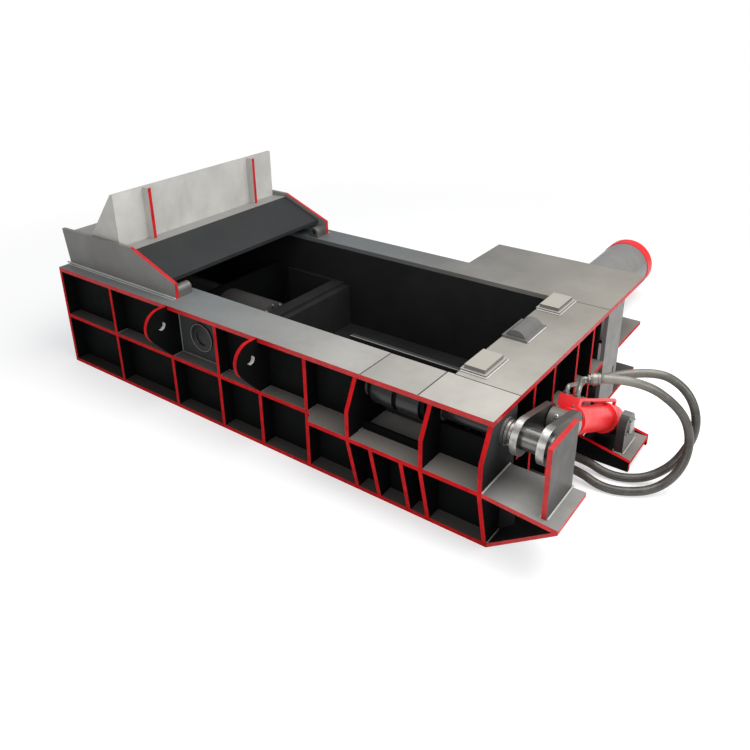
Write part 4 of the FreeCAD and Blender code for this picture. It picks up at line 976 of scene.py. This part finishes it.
NIPPLE_WAY = (0.0, -0.65, 0.76)
NIPPLE_REACH = 0.060
NIPPLE_SIDES = 18
NIPPLE = (
    (0, 0.011),
    (0.007, 0.011),
    (0.008, 0.006),
    (0.016, 0.006),
    (0.018, 0.004),
    (0.024, 0.005),
)


def drip_tray():
    """A thin folded tray on the floor between the foot's side plates."""
    tray = Details()
    rings = []
    for outline, height in TRAY_LAYERS:
        rings.append([Vector((x, y, height)) for x, y in outline])
    tray.skin(rings, False)
    tray.piece("drip_tray", "body", "slate_paint", mill_plate("tray_plate"))


def frame_bolts(material):
    """Bolts of the flange bearing, the pedestal and both ram cylinders, and the trunnion's cap."""
    bolts = Details()
    for ring in (BEARING_BOLTS, PEDESTAL_BOLTS, RAM_FLANGE_BOLTS, CYLINDER_CAP_BOLTS):
        bolts.bolts(**ring)
    bolts.turned(PEDESTAL_BOLTS["centre"], ENDWARD, TRUNNION_CAP)
    bolts.piece("frame_bolts", "body", "bare_steel", material)


def lever_rings(material):
    """Stepped spacer rings on the shaft, inside and outside of the lever."""
    rings = Details()
    for start, profile in ((INNER_RINGS_START, INNER_RINGS), (OUTER_RING_START, OUTER_RING)):
        rings.turned((start, *SHAFT), ENDWARD, profile, FINE_SIDES)
    rings.piece("lever_rings", "turn_out", "bare_steel", material)


def barrel_rings():
    """The gland, the bead behind the collar and those beside the trunnion band."""
    beads = Details()
    for reach in (COLLAR_BEAD, *BAND_BEADS):
        beads.seam(TRUNNION + reach * ALONG, **BARREL_BEAD)
    beads.turned(TRUNNION + GLAND * ALONG, ALONG, GLAND_RING, FINE_SIDES)
    beads.piece("barrel_seams", "barrel_body", "red_paint", red_gloss("seam_enamel"))


def gland(material):
    """The gland's bolts, and the nuts and crimps of the hoses."""
    parts = Details()
    parts.bolts(**GLAND_BOLTS)
    for aside in PORTS_ASIDE:
        port = TRUNNION + PORTS * ALONG + PORT_HEIGHT * UPWARD + Vector((aside, 0, 0))
        parts.turned(port, UPWARD, PORT_NUT, NUT_SIDES)
    for route in (HOSE_ONE, HOSE_TWO):
        start = Vector(route[0])
        way = (Vector(route[1]) - start).normalized()
        parts.turned(start - HOSE_NUT_BACK * way, way, HOSE_NUT, NUT_SIDES)
        for back in CRIMPS_BACK:
            parts.turned(start - back * way, way, CRIMP)
    parts.piece("gland_and_nuts", "barrel_body", "bare_steel", material)


def nipple(material):
    """The grease nipple on the rod's eye."""
    way = Vector(NIPPLE_WAY).normalized()
    base = Vector((TRUNNION.x, *ROD_PIN)) + NIPPLE_REACH * way
    part = Details()
    part.turned(base, way, NIPPLE, NIPPLE_SIDES)
    part.piece("grease_nipple", "rod_body", "bare_steel", material)


# ------------------------------------------------------------------ hoses

HOSE_RADIUS = 0.025
HOSE_SIDES = 28
LINE_STEPS = 14
HOSE_ONE = (
    (0.580, 0.553, 0.651),
    (0.761, 0.658, 0.658),
    (0.965, 0.795, 0.477),
    (1.042, 0.798, 0.314),
    (1.038, 0.729, 0.146),
    (0.948, 0.615, 0.038),
    (0.803, 0.508, 0.026),
    (0.672, 0.481, 0.026),
    (0.545, 0.500, 0.062),
    (0.430, 0.500, 0.062),
)
HOSE_TWO = (
    (0.532, 0.706, 0.562),
    (0.768, 0.839, 0.647),
    (0.968, 0.896, 0.549),
    (1.057, 0.883, 0.341),
    (0.996, 0.793, 0.140),
    (0.889, 0.696, 0.049),
    (0.770, 0.632, 0.026),
    (0.655, 0.614, 0.026),
    (0.545, 0.620, 0.062),
    (0.430, 0.620, 0.062),
)


def centre_line(route):
    """Points along the smooth line that a route controls."""
    data = bpy.data.curves.new("hose_line", "CURVE")
    data.dimensions = "3D"
    data.resolution_u = LINE_STEPS
    spline = data.splines.new("NURBS")
    spline.points.add(len(route) - 1)
    for point, place in zip(spline.points, route):
        point.co = (*place, 1.0)
    spline.order_u = 3
    spline.use_endpoint_u = True
    line = bpy.data.objects.new("hose_line", data)
    mesh = bpy.data.meshes.new_from_object(line)
    points = [vertex.co.copy() for vertex in mesh.vertices]
    bpy.data.objects.remove(line)
    bpy.data.curves.remove(data)
    bpy.data.meshes.remove(mesh)
    return points


def hose(name, route, material):
    """A tube along the smooth line of a route, in place of the CAD hose, which is hidden."""
    line = centre_line(route)
    tube = Details()
    side = (line[1] - line[0]).orthogonal()
    rings = []
    for index, point in enumerate(line):
        before = line[max(index - 1, 0)]
        after = line[min(index + 1, len(line) - 1)]
        along = (after - before).normalized()
        side = (side - along * side.dot(along)).normalized()
        rings.append(tube.circle(point, side, along.cross(side), HOSE_RADIUS, HOSE_SIDES))
    tube.skin(rings, True)
    piece = tube.solid(name, material)
    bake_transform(piece)
    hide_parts(name.replace("_cover", ""))


# ------------------------------------------------------------------ floor and light

WHITE = (1.0, 1.0, 1.0)
FLOOR_HALF = 40.0
FLOOR_CORNERS = ((-1, -1), (1, -1), (1, 1), (-1, 1))
FLOOR_COLOR = (0.80, 0.80, 0.79)
SHADOW_COLOR = (0.62, 0.62, 0.62)
SHADOW_GLOW = 0.5
SHADOW_MIDDLE = (-1.2, 0.6, 0.0)
SHADOW_FADE = (2.6, 5.5)
SKY_COLOR = (0.95, 0.97, 1.0)
SKY_STRENGTH = 0.45

# Area lamps: name, place, target, size and power
LAMPS = (
    ("overhead", (0.9, 1.0, 5.0), (-0.5, 0.5, 0.5), (4.5, 4.0), 270),
    ("front", (0.6, -5.0, 2.6), (-0.4, 0.0, 0.5), (5.0, 2.5), 80),
    ("side", (5.0, 0.2, 2.6), (0.2, 0.4, 0.4), (3.5, 2.5), 110),
)


def floor_paint():
    """Pale to the lamps; to the camera, the machine's shadow that fades into white."""
    shader = Shader("pale_floor")
    lit = shader.wired("ShaderNodeBsdfDiffuse", {"Color": FLOOR_COLOR})
    shade = shader.wired("ShaderNodeBsdfDiffuse", {"Color": SHADOW_COLOR})
    glow = shader.wired("ShaderNodeEmission", {"Color": WHITE, "Strength": SHADOW_GLOW})
    shadow = shader.wired("ShaderNodeAddShader", {0: shade, 1: glow})
    white = shader.wired("ShaderNodeEmission", {"Color": WHITE, "Strength": 1.0})
    spread = {0: shader.place, 1: SHADOW_MIDDLE}
    reach = shader.wired("ShaderNodeVectorMath", spread, "Value", operation="DISTANCE")
    seen = shader.mix_surfaces(shader.ramp(reach, *SHADOW_FADE), shadow, white)
    surface = shader.mix_surfaces(shader.seen_by_camera(), lit, seen)
    shader.close("ShaderNodeOutputMaterial", surface)
    return shader.material


def stage():
    mesh = bpy.data.meshes.new("studio_floor")
    corners = [(FLOOR_HALF * x, FLOOR_HALF * y, 0) for x, y in FLOOR_CORNERS]
    mesh.from_pydata(corners, [], [(0, 1, 2, 3)])
    mesh.materials.append(floor_paint())
    floor = bpy.data.objects.new("studio_floor", mesh)
    bpy.context.scene.collection.objects.link(floor)


def world():
    """Soft light from all round, and white where the camera sees past the floor."""
    studio = bpy.data.worlds.new("studio")
    studio.use_nodes = True
    bpy.context.scene.world = studio
    sky = Nodes(studio.node_tree)
    soft = sky.wired("ShaderNodeBackground", {"Color": SKY_COLOR, "Strength": SKY_STRENGTH})
    white = sky.wired("ShaderNodeBackground", {"Color": WHITE, "Strength": 1.0})
    surface = sky.mix_surfaces(sky.seen_by_camera(), soft, white)
    sky.close("ShaderNodeOutputWorld", surface)


def lights():
    for name, place, target, size, power in LAMPS:
        data = bpy.data.lights.new(name, "AREA")
        data.shape = "RECTANGLE"
        data.size, data.size_y = size
        data.energy = power
        light = bpy.data.objects.new(name, data)
        bpy.context.scene.collection.objects.link(light)
        light.location = place
        aim = Vector(target) - Vector(place)
        light.rotation_euler = aim.to_track_quat("-Z", "Y").to_euler()
        light.visible_camera = False


# ------------------------------------------------------------------ assembly

make_camera()
rubber_cover = rubber("hose_rubber_cover")
hose("hose_one_cover", HOSE_ONE, rubber_cover)
hose("hose_two_cover", HOSE_TWO, rubber_cover)
machined = brushed("machined_steel")
dress(machined)
deck_welds()
wall_welds()
cover_rims()
drip_tray()
frame_bolts(machined)
lever_rings(machined)
barrel_rings()
gland(brushed("dull_nut_steel", **DULL_NUT))
nipple(machined)
stage()
world()
lights()

bpy.context.scene.view_settings.view_transform = "Standard"
